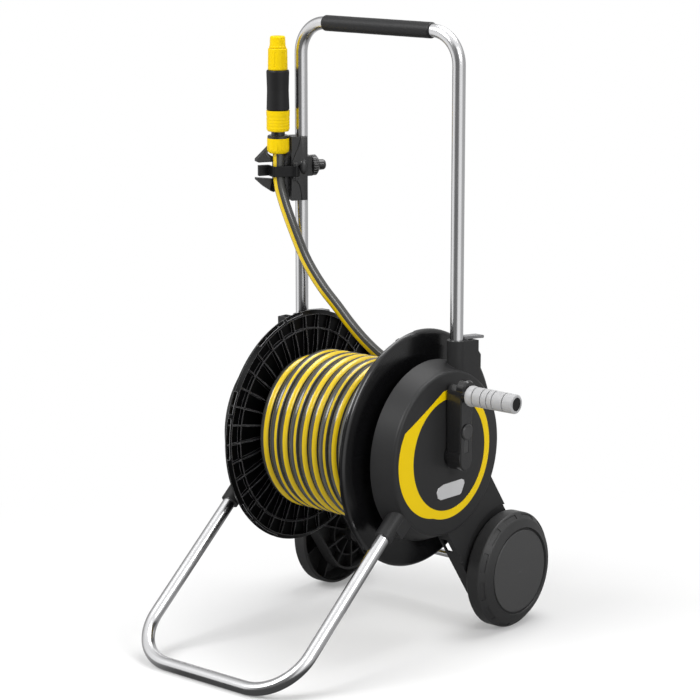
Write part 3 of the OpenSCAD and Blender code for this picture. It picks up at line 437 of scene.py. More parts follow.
class Finishes:
    """Every finish of the cart."""

    SATIN = Finish("satin black plastic", "plastic", (0.025, 0.025, 0.0255), 0.42, specular=0.22,
                   edge_highlight=0.06)
    DARK = Finish("dark moulded plastic", "plastic", (0.006, 0.006, 0.0065), 0.34, specular=0.25,
                  edge_highlight=0.02)
    RIBBED = Finish("ribbed flange plastic", "plastic", (0.0018, 0.0018, 0.002), 0.30, specular=0.09,
                    edge_highlight=0.80, edge_radius=0.9 * MM)
    FLANGE = Finish("smooth flange plastic", "plastic", (0.005, 0.005, 0.0055), 0.20, specular=0.6,
                    edge_highlight=0.03)
    CLAMP = Finish("clamp plastic", "plastic", (0.018, 0.018, 0.0185), 0.30, specular=0.45,
                   edge_highlight=0.22)
    BUTTON = Finish("slider plastic", "plastic", (0.045, 0.045, 0.0455), 0.30, specular=0.45,
                    edge_highlight=0.12)
    GLOSS = Finish("gloss black plastic", "gloss", (0.017, 0.017, 0.0175), 0.17, specular=0.45, coat=0.2,
                   grain_depth=0.06)
    YELLOW = Finish("yellow plastic", "yellow", (0.86, 0.60, 0.002), 0.34, specular=0.12, drift=0.06,
                    grain_depth=0.12)
    GREY = Finish("light grey plastic", "light_grey", (0.42, 0.42, 0.425), 0.42, drift=0.06)
    LEVER = Finish("mid grey plastic", "light_grey", (0.20, 0.20, 0.205), 0.40, drift=0.06)
    TUBE = Finish("satin metal tube", "tube", (0.70, 0.70, 0.71), 0.22, metallic=1.0, drift=0.05,
                  grain_depth=0.05, pattern=Pattern.DRAWN)
    STEEL = Finish("bright steel", "steel", (0.62, 0.62, 0.63), 0.22, metallic=1.0,
                   grain_depth=0.05)
    BADGE = Finish("satin badge", "badge", (0.74, 0.74, 0.75), 0.38, metallic=0.5,
                   grain_depth=0.05)
    RUBBER = Finish("black rubber", "rubber", (0.011, 0.011, 0.0115), 0.48, specular=0.25,
                    grain_depth=0.4)
    TYRE = Finish("wheel rubber", "rubber", (0.031, 0.031, 0.0315), 0.44, grain_depth=0.3)
    DISC = Finish("wheel cover", "plastic", (0.060, 0.060, 0.0605), 0.40, specular=0.35,
                  edge_highlight=0.04)
    FOAM = Finish("black foam", "foam", (0.010, 0.010, 0.0105), 0.46, specular=0.35, grain_size=0.0009,
                  grain_depth=0.4, pattern=Pattern.CELLS)
    WATER_SEAL = Finish("seal rubber", "rubber", (0.010, 0.010, 0.0105), 0.45)


@dataclass(frozen=True)
class Stripe:
    """One stripe that runs along the hose: its place round it and half its width, in turns."""

    place: float
    half_width: float


@dataclass(frozen=True)
class HoseFinish(Finish):
    """Finish of the hose: grey, with yellow stripes and fine ribs that follow its own UV map."""

    name: str = "striped hose"
    slot: str = "hose"
    colour: Triple = (0.060, 0.060, 0.055)
    roughness: float = 0.20
    specular: float = 0.5
    coat: float = 0.25
    coat_roughness: float = 0.10
    drift: float = 0.15
    drift_size: float = 0.04
    gloss_spread: float = 0.10
    grain_size: float = 0.0012
    grain_depth: float = 0.3
    edge_radius: float = 0.0
    bump_strength: float = 0.3
    bump_distance: float = 0.12 * MM
    yellow: Triple = (0.80, 0.56, 0.005)
    yellow_drift: float = 0.08
    stripes: tuple[Stripe, ...] = (Stripe(0.0, 0.068), Stripe(0.5, 0.033))
    stripe_blur: float = 0.006
    ribs: float = 44.0
    rib_height: float = 0.06

    def add_pattern(self, graph: Graph, place: Socket, skin: Skin) -> None:
        """Adds the stripes to the hose's colour and the ribs to its height.

        Args:
            graph: The material's graph.
            place: Object coordinates.
            skin: Skin that it changes.
        """
        around = graph.node("SeparateXYZ", graph.node("TexCoord").outputs["UV"]).outputs[1]
        mask = 0.0
        for stripe in self.stripes:
            off = graph.math("WRAP", graph.math("SUBTRACT", around, stripe.place), 0.5, -0.5)
            band = graph.spread(graph.math("ABSOLUTE", off), stripe.half_width - self.stripe_blur,
                                stripe.half_width + self.stripe_blur, 1.0, 0.0)
            mask = graph.math("MAXIMUM", mask, band)
        yellow = graph.group(EFFECTS.drift, vector=place, colour=(*self.yellow, 1.0),
                             size=self.drift_size, amount=self.yellow_drift)
        wave = graph.math("SINE", graph.math("MULTIPLY", around, self.ribs * TURN))
        skin.height = graph.math("MULTIPLY_ADD", wave, self.rib_height, skin.height)
        skin.colour = graph.blend(mask, skin.colour, yellow)


# ---- Making and placing pieces ----


def to_object(name: str, bm: bmesh.types.BMesh, smooth_below: float = 35.0) -> bpy.types.Object:
    """Turns a finished bmesh into a smooth-shaded object at the origin.

    Args:
        name: Name of the object.
        bm: The mesh, which is freed.
        smooth_below: Edges sharper than this many degrees stay sharp.

    Returns:
        The object, linked to the scene.
    """
    mesh = bpy.data.meshes.new(name)
    bm.to_mesh(mesh)
    bm.free()
    mesh.shade_smooth()
    mesh.set_sharp_from_angle(angle=math.radians(smooth_below))
    made = bpy.data.objects.new(name, mesh)
    bpy.context.scene.collection.objects.link(made)
    return made


def paint(piece: bpy.types.Object, material: bpy.types.Material) -> None:
    """Gives a piece one material in every slot, without touching its mesh's shape.

    Args:
        piece: Piece to paint.
        material: Its material.
    """
    if not piece.data.materials:
        piece.data.materials.append(material)
    for slot in piece.material_slots:
        slot.link = "OBJECT"
        slot.material = material


def seat(piece: bpy.types.Object, body: str, slot: str, *nodes: str) -> bpy.types.Object:
    """Rides a piece on a body and hides the CAD nodes that it stands for.

    Args:
        piece: Finished piece.
        body: Body that it moves with.
        slot: Material slot of the record; not used.
        nodes: CAD nodes that it replaces.

    Returns:
        The piece.
    """
    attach(piece, body)
    if nodes:
        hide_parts(*nodes)
    LOG.info("%s rides on %s", piece.name, body)
    return piece


def centre_of(node: str) -> Vector:
    """Finds the middle of a CAD node's box.

    Args:
        node: CAD node.

    Returns:
        The middle.
    """
    low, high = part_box(node)
    return (low + high) / 2


@dataclass
class Rounding:
    """Rounded edges for a CAD node, on a merged copy that stands for it."""

    width: float
    segments: int = 2
    sharper_than: float = 38.0
    smooth_below: float = 60.0
    merge_within: float = 0.002 * MM
    flat_within: float = 0.03

    def apply(self, node: str, finish: Finish) -> bpy.types.Object:
        """Copies a node with its edges rounded.

        Args:
            node: CAD node to copy.
            finish: Finish of the copy.

        Returns:
            The piece that stands for the node.
        """
        bm = bmesh.new()
        bm.from_mesh(frame["nodes"][node].data)
        bmesh.ops.remove_doubles(bm, verts=bm.verts, dist=self.merge_within)
        bmesh.ops.dissolve_limit(bm, angle_limit=math.radians(self.flat_within), verts=bm.verts,
                                 edges=bm.edges)
        piece = to_object(node + "_finished", bm, self.smooth_below)
        bevel = piece.modifiers.new("edge rounding", "BEVEL")
        bevel.width = self.width
        bevel.segments = self.segments
        bevel.limit_method = "ANGLE"
        bevel.angle_limit = math.radians(self.sharper_than)
        bevel.use_clamp_overlap = True
        even = piece.modifiers.new("even shading", "WEIGHTED_NORMAL")
        even.mode = "FACE_AREA"
        even.weight = 100
        even.keep_sharp = True
        paint(piece, finish.material())
        return seat(piece, BODY_OF[node], finish.slot, node)


# ---- Hose ----


@dataclass
class HoseLine:
    """Centreline of a stretch of hose, with the direction that faces out and its twist."""

    points: list[Vector]
    outward: list[Vector]
    roll: list[float]
    # Twist that turns both stripes away from the flat ends
    cap_turn: float = 0.25
    smooth_below: float = 60.0

    def length(self) -> float:
        """Measures the line.

        Returns:
            Length along its points.
        """
        return sum((b - a).length for a, b in zip(self.points, self.points[1:]))

    def sweep(self, name: str, radius: float, sides: int) -> bpy.types.Object:
        """Builds the closed tube round this line, with a UV map along and around it.

        Args:
            name: Name of the piece.
            radius: Radius of the hose.
            sides: Faces round the tube.

        Returns:
            The tube.
        """
        bm = bmesh.new()
        uv = bm.loops.layers.uv.new("UVMap")
        rings, walked = [], [0.0]
        last = len(self.points) - 1
        for i, (centre, out) in enumerate(zip(self.points, self.outward)):
            ahead = (self.points[min(i + 1, last)] - self.points[max(i - 1, 0)]).normalized()
            side = out.cross(ahead).normalized()
            top = ahead.cross(side)
            rings.append([bm.verts.new(centre + radius * (math.cos(a) * top + math.sin(a) * side))
                          for a in (TURN * k / sides for k in range(sides))])
            if i:
                walked.append(walked[-1] + (centre - self.points[i - 1]).length)
        for i in range(last):
            for k in range(sides):
                after = (k + 1) % sides
                face = bm.faces.new((rings[i][k], rings[i][after],
                                     rings[i + 1][after], rings[i + 1][k]))
                corners = ((i, k), (i, k + 1), (i + 1, k + 1), (i + 1, k))
                for loop, (ring, step) in zip(face.loops, corners):
                    loop[uv].uv = (walked[ring], step / sides + self.roll[ring])
        for ring, place in ((rings[0], 0), (rings[-1], last)):
            cap = bm.faces.new(ring)
            for loop in cap.loops:
                loop[uv].uv = (walked[place], self.roll[place] + self.cap_turn)
        bmesh.ops.recalc_face_normals(bm, faces=bm.faces)
        return to_object(name, bm, self.smooth_below)


def ease(t: float) -> float:
    """Steps smoothly from 0 to 1.

    Args:
        t: Share of the way, which is held between 0 and 1.

    Returns:
        Share of the step.
    """
    t = min(max(t, 0.0), 1.0)
    return t * t * (3 - 2 * t)


@dataclass
class GardenHose:
    """The wound hose and its free end up to the nozzle."""

    diameter: float = 16 * MM
    finish: HoseFinish = HoseFinish()
    layer_radii: Triple = (72 * MM, 88.5 * MM, 105 * MM)
    under_pitch: float = 17 * MM
    top_pitch: float = 17.6 * MM
    side_x: float = 85 * MM
    last_x: float = 75.5 * MM
    # Turns over which the hose steps out to the next layer, or out of the barrel at its start
    layer_step: float = 0.3
    start_step: float = 0.4
    start_depth: float = 14 * MM
    # Turns that a layer dwells at its flange before it winds on, and after its last pitch
    dwell: float = 0.2
    under_rest: float = 0.3
    top_rest: float = 0.45
    rings_a_turn: int = 64
    sides: int = 16
    span_sides: int = 24
    # Turns: how far the wide stripe lies aside, and how soon the other one takes its place
    stripe_lean: float = 0.11
    turn_over: float = 0.2
    # Twist of the free hose in turns, and the rings that it takes
    span_turn: float = 0.545
    twist_over: int = 54
    lead_steps: int = 12
    route_steps: int = 6
    # Route point up to which the free hose stays put, and height above which it follows the handle
    still_until: int = 9
    follow_above: float = 655 * MM
    connector_depth: float = 40 * MM
    # Angles round the drum between which the free hose leaves the last turn
    climb_from: float = 240.0
    climb_to: float = 300.0
    # Whether each turn of the top layer shows its wide stripe, from the left
    wide_turns: tuple[bool, ...] = (True, False, True, False, True, True, False, True, False, True)
    # Route of the free hose in the CAD source's millimetres, which are taken less the origin
    route_origin: tuple[float, float] = (43.288, -55.75)
    route: tuple[Triple, ...] = (
        (76, 62, 166), (71, 85, 183), (64, 103, 205), (55, 116, 230), (44, 123, 257),
        (32, 124, 282), (18, 119, 309), (2, 108, 334), (-14, 93, 354), (-30, 76, 372),
        (-46, 62, 393), (-61, 50, 416), (-77, 40, 441), (-94, 32, 464), (-109, 26, 487),
        (-121, 21, 510), (-130, 16, 535), (-139, 11, 562), (-148, 8, 588), (-154, 6, 612),
        (-155, 6, 638), (-155, 6, 670))

    def build(self) -> None:
        """Builds both stretches of hose and hides the CAD nodes that they stand for."""
        coil_line = self.coil_line()
        span_line = self.span_line(coil_line)
        coil = coil_line.sweep("wound_hose", self.diameter / 2, self.sides)
        span = span_line.sweep("free_hose", self.diameter / 2, self.span_sides)
        for piece in (coil, span):
            paint(piece, self.finish.material())
        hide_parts("hose_coil")
        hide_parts("hose_span")
        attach(coil, BODY_OF["hose_coil"])
        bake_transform(span)
        LOG.info("wound hose %.2f m, free hose %.2f m", coil_line.length(), span_line.length())
        round(coil_line.length(), 2)
        round(span_line.length(), 2)

    def axis(self) -> Vector:
        """Finds the middle of the wound hose, on the drum's axis.

        Returns:
            The middle.
        """
        return centre_of("hose_coil")

    def layer(self, number: int, turn: float) -> float:
        """Works out how far along the axis a turn lies.

        Args:
            number: Layer, from 0 on the barrel.
            turn: Turns since the layer began.

        Returns:
            Distance from the middle plane.
        """
        is_top = number == len(self.layer_radii) - 1
        pitch = self.top_pitch if is_top else self.under_pitch
        way = max(turn - self.dwell, 0.0) * pitch
        limit = self.side_x + (self.last_x if is_top else self.side_x)
        x = min(way, limit) - self.side_x
        return -x if number % 2 else x

    def coil_line(self) -> HoseLine:
        """Works out the centreline of the wound hose, from the barrel out to where it leaves.

        Returns:
            The line, with its outward direction and the twist that puts a stripe in view.
        """
        top_turns = (self.side_x + self.last_x) / self.top_pitch + self.top_rest
        under_turns = 2 * self.side_x / self.under_pitch + self.under_rest
        top = len(self.layer_radii) - 1
        total = top * under_turns + top_turns
        first = (self.climb_from / 360 - total) % 1
        last_wide = len(self.wide_turns) - 1
        line = HoseLine([], [], [])
        count = int(total * self.rings_a_turn)
        middle = self.axis()
        for i in range(count + 1):
            turn = total * i / count
            number = min(int(turn // under_turns), top)
            since = turn - number * under_turns
            radius = self.layer_radii[number]
            if number:
                inner = self.layer_radii[number - 1]
                radius += (inner - radius) * (1 - ease(since / self.layer_step))
            else:
                radius -= self.start_depth * (1 - ease(since / self.start_step))
            angle = TURN * (first + turn)
            out = Vector((0, math.cos(angle), math.sin(angle)))
            line.points.append(middle + radius * out + Vector((self.layer(number, since), 0, 0)))
            line.outward.append(out)
            line.roll.append(self.twist(first + turn - int(first + total) + last_wide))
        return line

    def twist(self, turn: float) -> float:
        """Twist of the hose, which steps by half a turn where its other stripe comes into view.

        Args:
            turn: Turns since the top layer first passed behind the drum.

        Returns:
            Twist in turns.
        """
        number = min(max(int(math.floor(turn)), 0), len(self.wide_turns) - 1)
        before = self.wide_turns[max(number - 1, 0)]
        here = self.wide_turns[number]
        step = ease((turn - math.floor(turn)) / self.turn_over) if turn >= 0 else 1.0
        start, end = (0.0 if before else 0.5), (0.0 if here else 0.5)
        return start + (end - start) * step - self.stripe_lean

    def span_line(self, coil: HoseLine) -> HoseLine:
        """Works out the centreline of the free hose, from the last turn up into the connector.

        Args:
            coil: Line of the wound hose, whose end the free hose goes on from.

        Returns:
            The line, whose twist eases on until the wide stripe faces forward.
        """
        middle = self.axis()
        shift = Vector((*self.route_origin, 0)) * MM
        chosen = [Vector(p) * MM - shift for p in self.route]
        chosen.append(chosen[-1] + Vector((0, 0, self.connector_depth)))
        start_x = coil.points[-1].x
        start_radius = self.layer_radii[-1]
        end_radius = (chosen[0] - middle).yz.length
        lead = []
        for i in range(self.lead_steps):
            share = i / self.lead_steps
            angle = math.radians(self.climb_from + (self.climb_to - self.climb_from) * share)
            radius = start_radius + (end_radius - start_radius) * ease(share)
            x = start_x + (chosen[0].x - start_x) * share
            lead.append(Vector((x, middle.y + radius * math.cos(angle),
                                middle.z + radius * math.sin(angle))))
        points = lead + smooth_through([lead[-1]] + chosen, self.route_steps)
        out = coil.outward[-1].copy()
        roll = [coil.roll[-1] + self.span_turn * ease(i / self.twist_over) for i in range(len(points))]
        line = HoseLine(points, [], roll)
        for i in range(len(points)):
            ahead = (points[min(i + 1, len(points) - 1)] - points[max(i - 1, 0)]).normalized()
            out = (out - out.project(ahead)).normalized()
            line.outward.append(out.copy())
        return line


def smooth_through(points: list[Vector], steps: int) -> list[Vector]:
    """Runs a smooth curve through points, from the second one to the last.

    Args:
        points: Points it passes; the first only sets the direction at the second.
        steps: Steps from each point to the next.

    Returns:
        Points along the curve.
    """
    made = []
    for i in range(1, len(points) - 1):
        a, b, c = points[i - 1], points[i], points[i + 1]
        d = points[min(i + 2, len(points) - 1)]
        for k in range(steps):
            t = k / steps
            made.append(0.5 * (2 * b + (c - a) * t + (2 * a - 5 * b + 4 * c - d) * t * t
                               + (3 * b - a - 3 * c + d) * t ** 3))
    made.append(points[-1])
    return made


# ---- Sub-assemblies ----


@dataclass
class Assembly:
    """A sub-assembly: it dresses its CAD nodes, rounds some in their shape and adds the rest."""

    finishes: dict[str, Finish] = field(default_factory=dict)
    roundings: dict[str, Rounding] = field(default_factory=dict)

    def extras(self) -> None:
        """Builds the pieces that have no CAD node."""

    def build(self) -> None:
        """Dresses the CAD nodes and builds the rest."""
        for node, finish in self.finishes.items():
            if node in self.roundings:
                self.roundings[node].apply(node, finish)
            else:
                paint(frame["nodes"][node], finish.material())
        self.extras()
        LOG.info("%s done", type(self).__name__)


@dataclass
class SidePlates(Assembly):
    """Both side plates with their trim, the foot loop and the inlet hub."""

    finishes: dict[str, Finish] = field(default_factory=lambda: {
        "side_plate_left": Finishes.SATIN, "side_plate_right": Finishes.SATIN,
        "ring_inlay": Finishes.YELLOW, "badge_plate": Finishes.BADGE,
        "foot_tube": Finishes.TUBE, "foot_screws": Finishes.STEEL,
        "drive_bush": Finishes.DARK, "inlet_hub": Finishes.DARK, "hub_nut": Finishes.DARK,
        "hub_seals": Finishes.WATER_SEAL, "inlet_elbow": Finishes.DARK,
        "latch_pins": Finishes.STEEL, "latch_springs": Finishes.STEEL,
        "latch_left": Finishes.LEVER, "latch_right": Finishes.LEVER,
    })
    roundings: dict[str, Rounding] = field(default_factory=lambda: {
        node: Rounding(0.5 * MM) for node in ("badge_plate", "latch_left", "latch_right")
    })


@dataclass
class Wheels(Assembly):
    """Two wheels on their axle."""

    finishes: dict[str, Finish] = field(default_factory=lambda: {
        "wheel_left": Finishes.TYRE, "wheel_right": Finishes.TYRE,
        "wheel_disc_left": Finishes.DISC, "wheel_disc_right": Finishes.DISC,
        "wheel_axle": Finishes.STEEL, "axle_clips": Finishes.STEEL,
    })


@dataclass
class Drum(Assembly):
    """Barrel, flanges and what turns inside them."""

    finishes: dict[str, Finish] = field(default_factory=lambda: {
        "drum_barrel": Finishes.DARK, "flange_left": Finishes.RIBBED,
        "flange_right": Finishes.FLANGE, "flange_screws": Finishes.STEEL,
        "drive_shaft": Finishes.STEEL, "drum_inlet": Finishes.DARK,
        "tail_nut": Finishes.YELLOW,
    })


@dataclass
class Crank(Assembly):
    """Crank arm with its lock slider and turning grip."""

    finishes: dict[str, Finish] = field(default_factory=lambda: {
        "crank_arm": Finishes.GLOSS, "crank_screw": Finishes.STEEL,
        "grip_spindle": Finishes.STEEL, "crank_slider": Finishes.BUTTON,
        "crank_grip": Finishes.GREY, "grip_cap": Finishes.DARK,
    })
    roundings: dict[str, Rounding] = field(default_factory=lambda: {
        "crank_arm": Rounding(0.6 * MM), "crank_slider": Rounding(0.3 * MM),
    })


@dataclass
class Handle(Assembly):
    """Push handle with its foam sleeve."""

    finishes: dict[str, Finish] = field(default_factory=lambda: {
        "handle_tube": Finishes.TUBE, "handle_sleeve": Finishes.FOAM,
        "tube_plugs": Finishes.DARK,
    })
    bore: float = 8 * MM
    tube_radius: float = 9 * MM
    end_round: float = 3.2 * MM
    end_steps: int = 6
    swell: float = 0.35 * MM
    swell_scale: float = 60.0
    swell_row: tuple[float, float] = (3.1, 7.7)
    sleeve_rings: int = 96
    sleeve_steps: int = 56
    smooth_below: float = 70.0

    def profile(self, half: float, radius: float) -> list[tuple[float, float]]:
        """Works out the sleeve's section on one side of its axis.

        Args:
            half: Half its length.
            radius: Its outer radius.

        Returns:
            Place along the axis and radius of each point, from the left bore to the right one.
        """
        corner = self.end_round
        arc = []
        for k in range(self.end_steps + 1):
            angle = math.pi / 2 * k / self.end_steps
            arc.append((half - corner * (1 - math.sin(angle)),
                        radius - corner * (1 - math.cos(angle))))
        left_end = [(-x, r) for x, r in reversed(arc)]
        outside = []
        for k in range(1, self.sleeve_rings):
            x = (half - corner) * (2 * k / self.sleeve_rings - 1)
            dent = noise.noise(Vector((x * self.swell_scale, *self.swell_row))) ** 2
            outside.append((x, radius - self.swell * dent))
        return [(-half, self.bore), *left_end, *outside, *arc, (half, self.bore)]

    def extras(self) -> None:
        """Builds the foam sleeve: a hollow turned body with soft ends and a slightly uneven skin."""
        low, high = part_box("handle_sleeve")
        middle = centre_of("handle_sleeve")
        profile = self.profile((high.x - low.x) / 2, (high.z - low.z) / 2)
        bm = bmesh.new()
        rings = []
        for k in range(self.sleeve_steps):
            turned = Matrix.Rotation(TURN * k / self.sleeve_steps, 3, "X")
            rings.append([bm.verts.new(turned @ Vector((x, 0, r))) for x, r in profile])
        for ring, after in zip(rings, rings[1:] + rings[:1]):
            for k in range(len(profile)):
                bm.faces.new((ring[k - 1], ring[k], after[k], after[k - 1]))
        bmesh.ops.translate(bm, verts=bm.verts, vec=middle)
        bmesh.ops.recalc_face_normals(bm, faces=bm.faces)
        sleeve = to_object("foam_sleeve", bm, self.smooth_below)
        paint(sleeve, Finishes.FOAM.material())
        seat(sleeve, BODY_OF["handle_sleeve"], "foam", "handle_sleeve")


@dataclass
class Holder(Assembly):
    """Clamp on the handle with its gate and knob."""

    finishes: dict[str, Finish] = field(default_factory=lambda: {
        "holder_body": Finishes.CLAMP, "gate_pin": Finishes.STEEL,
        "hose_gate": Finishes.DARK, "clamp_knob": Finishes.GLOSS,
        "clamp_stud": Finishes.STEEL,
    })
    roundings: dict[str, Rounding] = field(default_factory=lambda: {
        node: Rounding(0.7 * MM) for node in ("holder_body", "hose_gate")
    })
    # Place and height, in millimetres from the leg's axis and the clamp's middle
    cheek: tuple[tuple[float, float], ...] = (
        (4.2, 44.6), (-5.5, 44.6), (-6.6, 40), (-9, 31), (-12.5, 23.4), (-15.5, 16), (-18.6, 10.5),
        (-18.6, 5), (-8.2, 5), (-8.2, -11), (-18.6, -11), (-18.6, -14.5), (-11.5, -17.5),
        (-7.4, -24), (-5.2, -34), (-4.3, -44.6), (4.2, -44.6))
    cheek_from: float = 11.2 * MM
    cheek_depth: float = 1.9 * MM
    cheek_edge: float = 0.7 * MM
    cheek_segments: int = 3
    boss_place: tuple[float, float] = (-1.5, 2.5)
    boss_radii: Triple = (3.6, 6.5, 10.5)
    boss_lift: float = 0.8
    boss_facets: tuple[int, int] = (32, 24)

    def local_frame(self) -> Matrix:
        """Works out the clamp's own frame.

        Returns:
            Its matrix, with Z up the leg and -Y out to the parked hose.
        """
        tube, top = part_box("handle_tube"), centre_of("holder_body")
        leg = Vector((tube[0].x + Handle.tube_radius, (tube[0].y + tube[1].y) / 2, top.z))
        back = leg - centre_of("connector_nut")
        back.z = 0
        back.normalize()
        across = back.cross(Vector((0, 0, 1)))
        return Matrix.Translation(leg) @ Matrix((across, back, (0, 0, 1))).transposed().to_4x4()

    def extras(self) -> None:
        """Builds the raised cheek and the boss on the outer side of the clamp."""
        place = self.local_frame()
        bm = bmesh.new()
        outline = [bm.verts.new((self.cheek_from, y * MM, z * MM)) for y, z in self.cheek]
        face = bm.faces.new(outline)
        raised = bmesh.ops.extrude_face_region(bm, geom=[face])["geom"]
        top = [e for e in raised if isinstance(e, bmesh.types.BMVert)]
        bmesh.ops.translate(bm, verts=top, vec=(self.cheek_depth, 0, 0))
        rim = [e for e in bm.edges if all(v in top for v in e.verts)]
        bmesh.ops.bevel(bm, geom=rim, offset=self.cheek_edge, offset_type="OFFSET", affect="EDGES",
                        segments=self.cheek_segments, profile=0.5, material=-1)
        bmesh.ops.recalc_face_normals(bm, faces=bm.faces)
        bm.transform(place)
        cheek = to_object("holder_cheek", bm)
        bm = bmesh.new()
        across, along = self.boss_facets
        bmesh.ops.create_uvsphere(bm, u_segments=across, v_segments=along, radius=MM)
        bmesh.ops.scale(bm, vec=self.boss_radii, verts=bm.verts)
        for vert in bm.verts:
            vert.co.x = max(vert.co.x, 0.0)
        lift = self.cheek_from + self.boss_lift * self.cheek_depth
        y, z = self.boss_place
        bmesh.ops.translate(bm, verts=bm.verts, vec=(lift, y * MM, z * MM))
        bm.transform(place)
        boss = to_object("holder_boss", bm)
        for piece in (cheek, boss):
            paint(piece, Finishes.CLAMP.material())
            seat(piece, BODY_OF["holder_body"], "plastic")


@dataclass
class Nozzle(Assembly):
    """Connector and nozzle parked on the holder."""

    finishes: dict[str, Finish] = field(default_factory=lambda: {
        "nozzle_body": Finishes.RUBBER, "nozzle_head": Finishes.YELLOW,
        "nozzle_tip": Finishes.YELLOW, "connector_body": Finishes.GLOSS,
        "connector_collar": Finishes.YELLOW, "connector_nut": Finishes.YELLOW,
    })


# ---- Studio ----


@dataclass
class Lamp:
    """A soft area lamp aimed at the cart."""

    name: str
    place: Triple
    size: float
    power: float

    def build(self, target: Vector) -> None:
        """Adds the lamp.

        Args:
            target: Point it is aimed at.
        """
        data = bpy.data.lights.new(self.name, "AREA")
        data.shape = "DISK"
        data.size = self.size
        data.energy = self.power
        made = bpy.data.objects.new(self.name, data)
        made.location = self.place
        made.rotation_euler = (target - made.location).to_track_quat("-Z", "Y").to_euler()
        bpy.context.scene.collection.objects.link(made)


@dataclass
class Flag:
    """A dark screen beside the set, which draws a dark band in gloss and metal.

    Its bearing, half width and softness are in degrees; top is the rise over which it ends.
    """

    bearing: float
    half_width: float
    depth: float
    top: tuple[float, float] = (0.45, 0.75)
    softness: float = 12.0


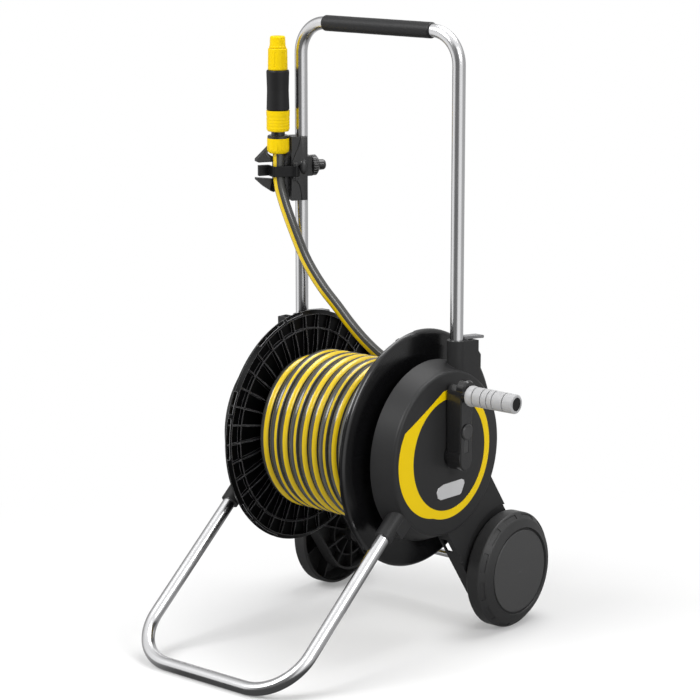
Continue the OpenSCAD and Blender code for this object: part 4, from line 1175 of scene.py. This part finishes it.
@dataclass
class Studio:
    """Camera, pale floor and soft light."""

    azimuth: float = 40.30
    elevation: float = 12.16
    distance: float = 3.4085
    lens: float = 127.2
    sensor: float = 36.0
    view_end: float = 50.0
    target: Triple = (-0.0543, 0.0465, 0.3948)
    lamps: tuple[Lamp, ...] = (
        Lamp("key", (-1.2, -3.0, 3.4), 2.4, 132.0),
        Lamp("fill", (3.4, -0.6, 2.2), 1.8, 45.0),
        Lamp("top", (0.2, 1.2, 3.6), 2.6, 80.0),
    )
    # Bearings in degrees from the front of the cart, towards its crank
    flags: tuple[Flag, ...] = (
        Flag(10.0, 38.0, 0.82), Flag(130.0, 26.0, 0.52, (0.25, 0.55)),
        Flag(-112.0, 30.0, 0.62, (0.6, 0.9)), Flag(180.0, 24.0, 0.50))
    ambient: float = 0.44
    floor_size: float = 20.0
    floor_albedo: float = 0.60
    floor_lift: float = 0.24
    # Distances over which the floor turns white, for the camera and for gloss with its near level
    floor_white: tuple[float, float] = (0.3, 0.9)
    floor_gloss: Triple = (0.5, 1.3, 0.42)

    def build_camera(self) -> None:
        """Sets the camera at the viewing angle."""
        turn, rise = math.radians(self.azimuth), math.radians(self.elevation)
        back = Vector((math.sin(turn) * math.cos(rise), -math.cos(turn) * math.cos(rise),
                       math.sin(rise)))
        data = bpy.data.cameras.new("camera")
        data.lens = self.lens
        data.sensor_width = self.sensor
        data.clip_end = self.view_end
        made = bpy.data.objects.new("camera", data)
        made.location = Vector(self.target) + back * self.distance
        made.rotation_euler = (-back).to_track_quat("-Z", "Y").to_euler()
        bpy.context.scene.collection.objects.link(made)
        bpy.context.scene.camera = made

    @staticmethod
    def seen(graph: Graph) -> Socket:
        """Adds a value that is 1 for what the camera, gloss, metal and glass see.

        Args:
            graph: Graph that gets it.

        Returns:
            The value.
        """
        light = graph.node("LightPath")
        either = graph.math("MAXIMUM", light.outputs["Is Camera Ray"], light.outputs["Is Glossy Ray"])
        return graph.math("MAXIMUM", either, light.outputs["Is Transmission Ray"])

    def build_flags(self) -> Tree:
        """Builds the group that darkens the bearings where a flag stands.

        Returns:
            The group.
        """
        tree, graph, start, end = new_group("flags", {"Vector": "Vector"}, {"Bright": "Float"})
        x, y, z = graph.node("SeparateXYZ", start["Vector"]).outputs
        bearing = graph.math("ARCTAN2", x, graph.math("MULTIPLY", y, -1.0))
        bright = 1.0
        for flag in self.flags:
            off = graph.math("SUBTRACT", bearing, math.radians(flag.bearing))
            off = graph.math("ABSOLUTE", graph.math("WRAP", off, math.pi, -math.pi))
            band = graph.spread(off, math.radians(flag.half_width - flag.softness),
                                math.radians(flag.half_width + flag.softness), flag.depth, 0.0)
            below = graph.spread(z, *flag.top, 1.0, 0.0)
            bright = graph.math("SUBTRACT", bright, graph.math("MULTIPLY", band, below))
        graph.feed(end["Bright"], bright)
        return tree

    def build_floor(self, flags: Tree) -> None:
        """Lays a pale floor that keeps the cart's shadow and turns white away from it.

        Args:
            flags: Group that darkens the bearings of the flags, which gloss and metal show.
        """
        bm = bmesh.new()
        bmesh.ops.create_grid(bm, x_segments=1, y_segments=1, size=self.floor_size)
        floor = to_object("floor", bm)
        made = bpy.data.materials.new("pale floor")
        made.use_nodes = True
        graph = Graph(made.node_tree)
        made.node_tree.nodes.remove(made.node_tree.nodes["Principled BSDF"])
        out = made.node_tree.nodes["Material Output"]
        place = graph.node("TexCoord").outputs["Object"]
        away = graph.node("VectorMath", place, operation="LENGTH").outputs["Value"]
        seen = self.seen(graph)
        albedo = self.floor_albedo
        plain = graph.node("BsdfDiffuse", (albedo, albedo, albedo, 1.0))
        glow = graph.node("Emission", WHITE, graph.math("MULTIPLY", seen, self.floor_lift))
        near = graph.node("AddShader", plain.outputs[0], glow.outputs[0])
        gloss = graph.node("LightPath").outputs["Is Glossy Ray"]
        near_edge, far_edge, near_level = self.floor_gloss
        level = graph.math("MULTIPLY", graph.group(flags, vector=place),
                           graph.spread(away, near_edge, far_edge, near_level, 1.0))
        shade = graph.node("Mix", gloss, None, 1.0, level, data_type="FLOAT").outputs[0]
        far = graph.node("Emission", WHITE, shade)
        white = graph.math("MULTIPLY", seen, graph.spread(away, *self.floor_white, 0.0, 1.0))
        white = graph.math("MAXIMUM", white, gloss)
        both = graph.node("MixShader", white, near.outputs[0], far.outputs[0])
        graph.feed(out.inputs["Surface"], both.outputs[0])
        paint(floor, made)

    def build_world(self, flags: Tree) -> None:
        """Sets a white surround, with the dark flags that only gloss and metal show.

        Args:
            flags: Group that darkens the bearings of the flags.
        """
        world = bpy.data.worlds.new("studio")
        world.use_nodes = True
        bpy.context.scene.world = world
        graph = Graph(world.node_tree)
        way = graph.node("TexCoord").outputs["Generated"]
        gloss = graph.node("LightPath").outputs["Is Glossy Ray"]
        shown = graph.node("Mix", gloss, None, 1.0, graph.group(flags, vector=way),
                           data_type="FLOAT").outputs[0]
        level = graph.math("MULTIPLY_ADD", self.seen(graph), 1.0 - self.ambient, self.ambient)
        graph.fill(world.node_tree.nodes["Background"], {
            "Color": WHITE, "Strength": graph.math("MULTIPLY", level, shown),
        })

    def build(self) -> None:
        """Builds the camera, the floor, the surround and the lamps."""
        self.build_camera()
        flags = self.build_flags()
        self.build_floor(flags)
        self.build_world(flags)
        for lamp in self.lamps:
            lamp.build(centre_of("hose_coil"))
        bpy.context.scene.view_settings.view_transform = "Standard"


def main() -> None:
    """Builds the studio, the hose and each sub-assembly in order."""
    logging.basicConfig(level=logging.INFO, format="%(message)s")
    Studio().build()
    GardenHose().build()
    for assembly in (SidePlates(), Wheels(), Drum(), Crank(), Handle(), Holder(), Nozzle()):
        assembly.build()


if __name__ == "__main__":
    main()
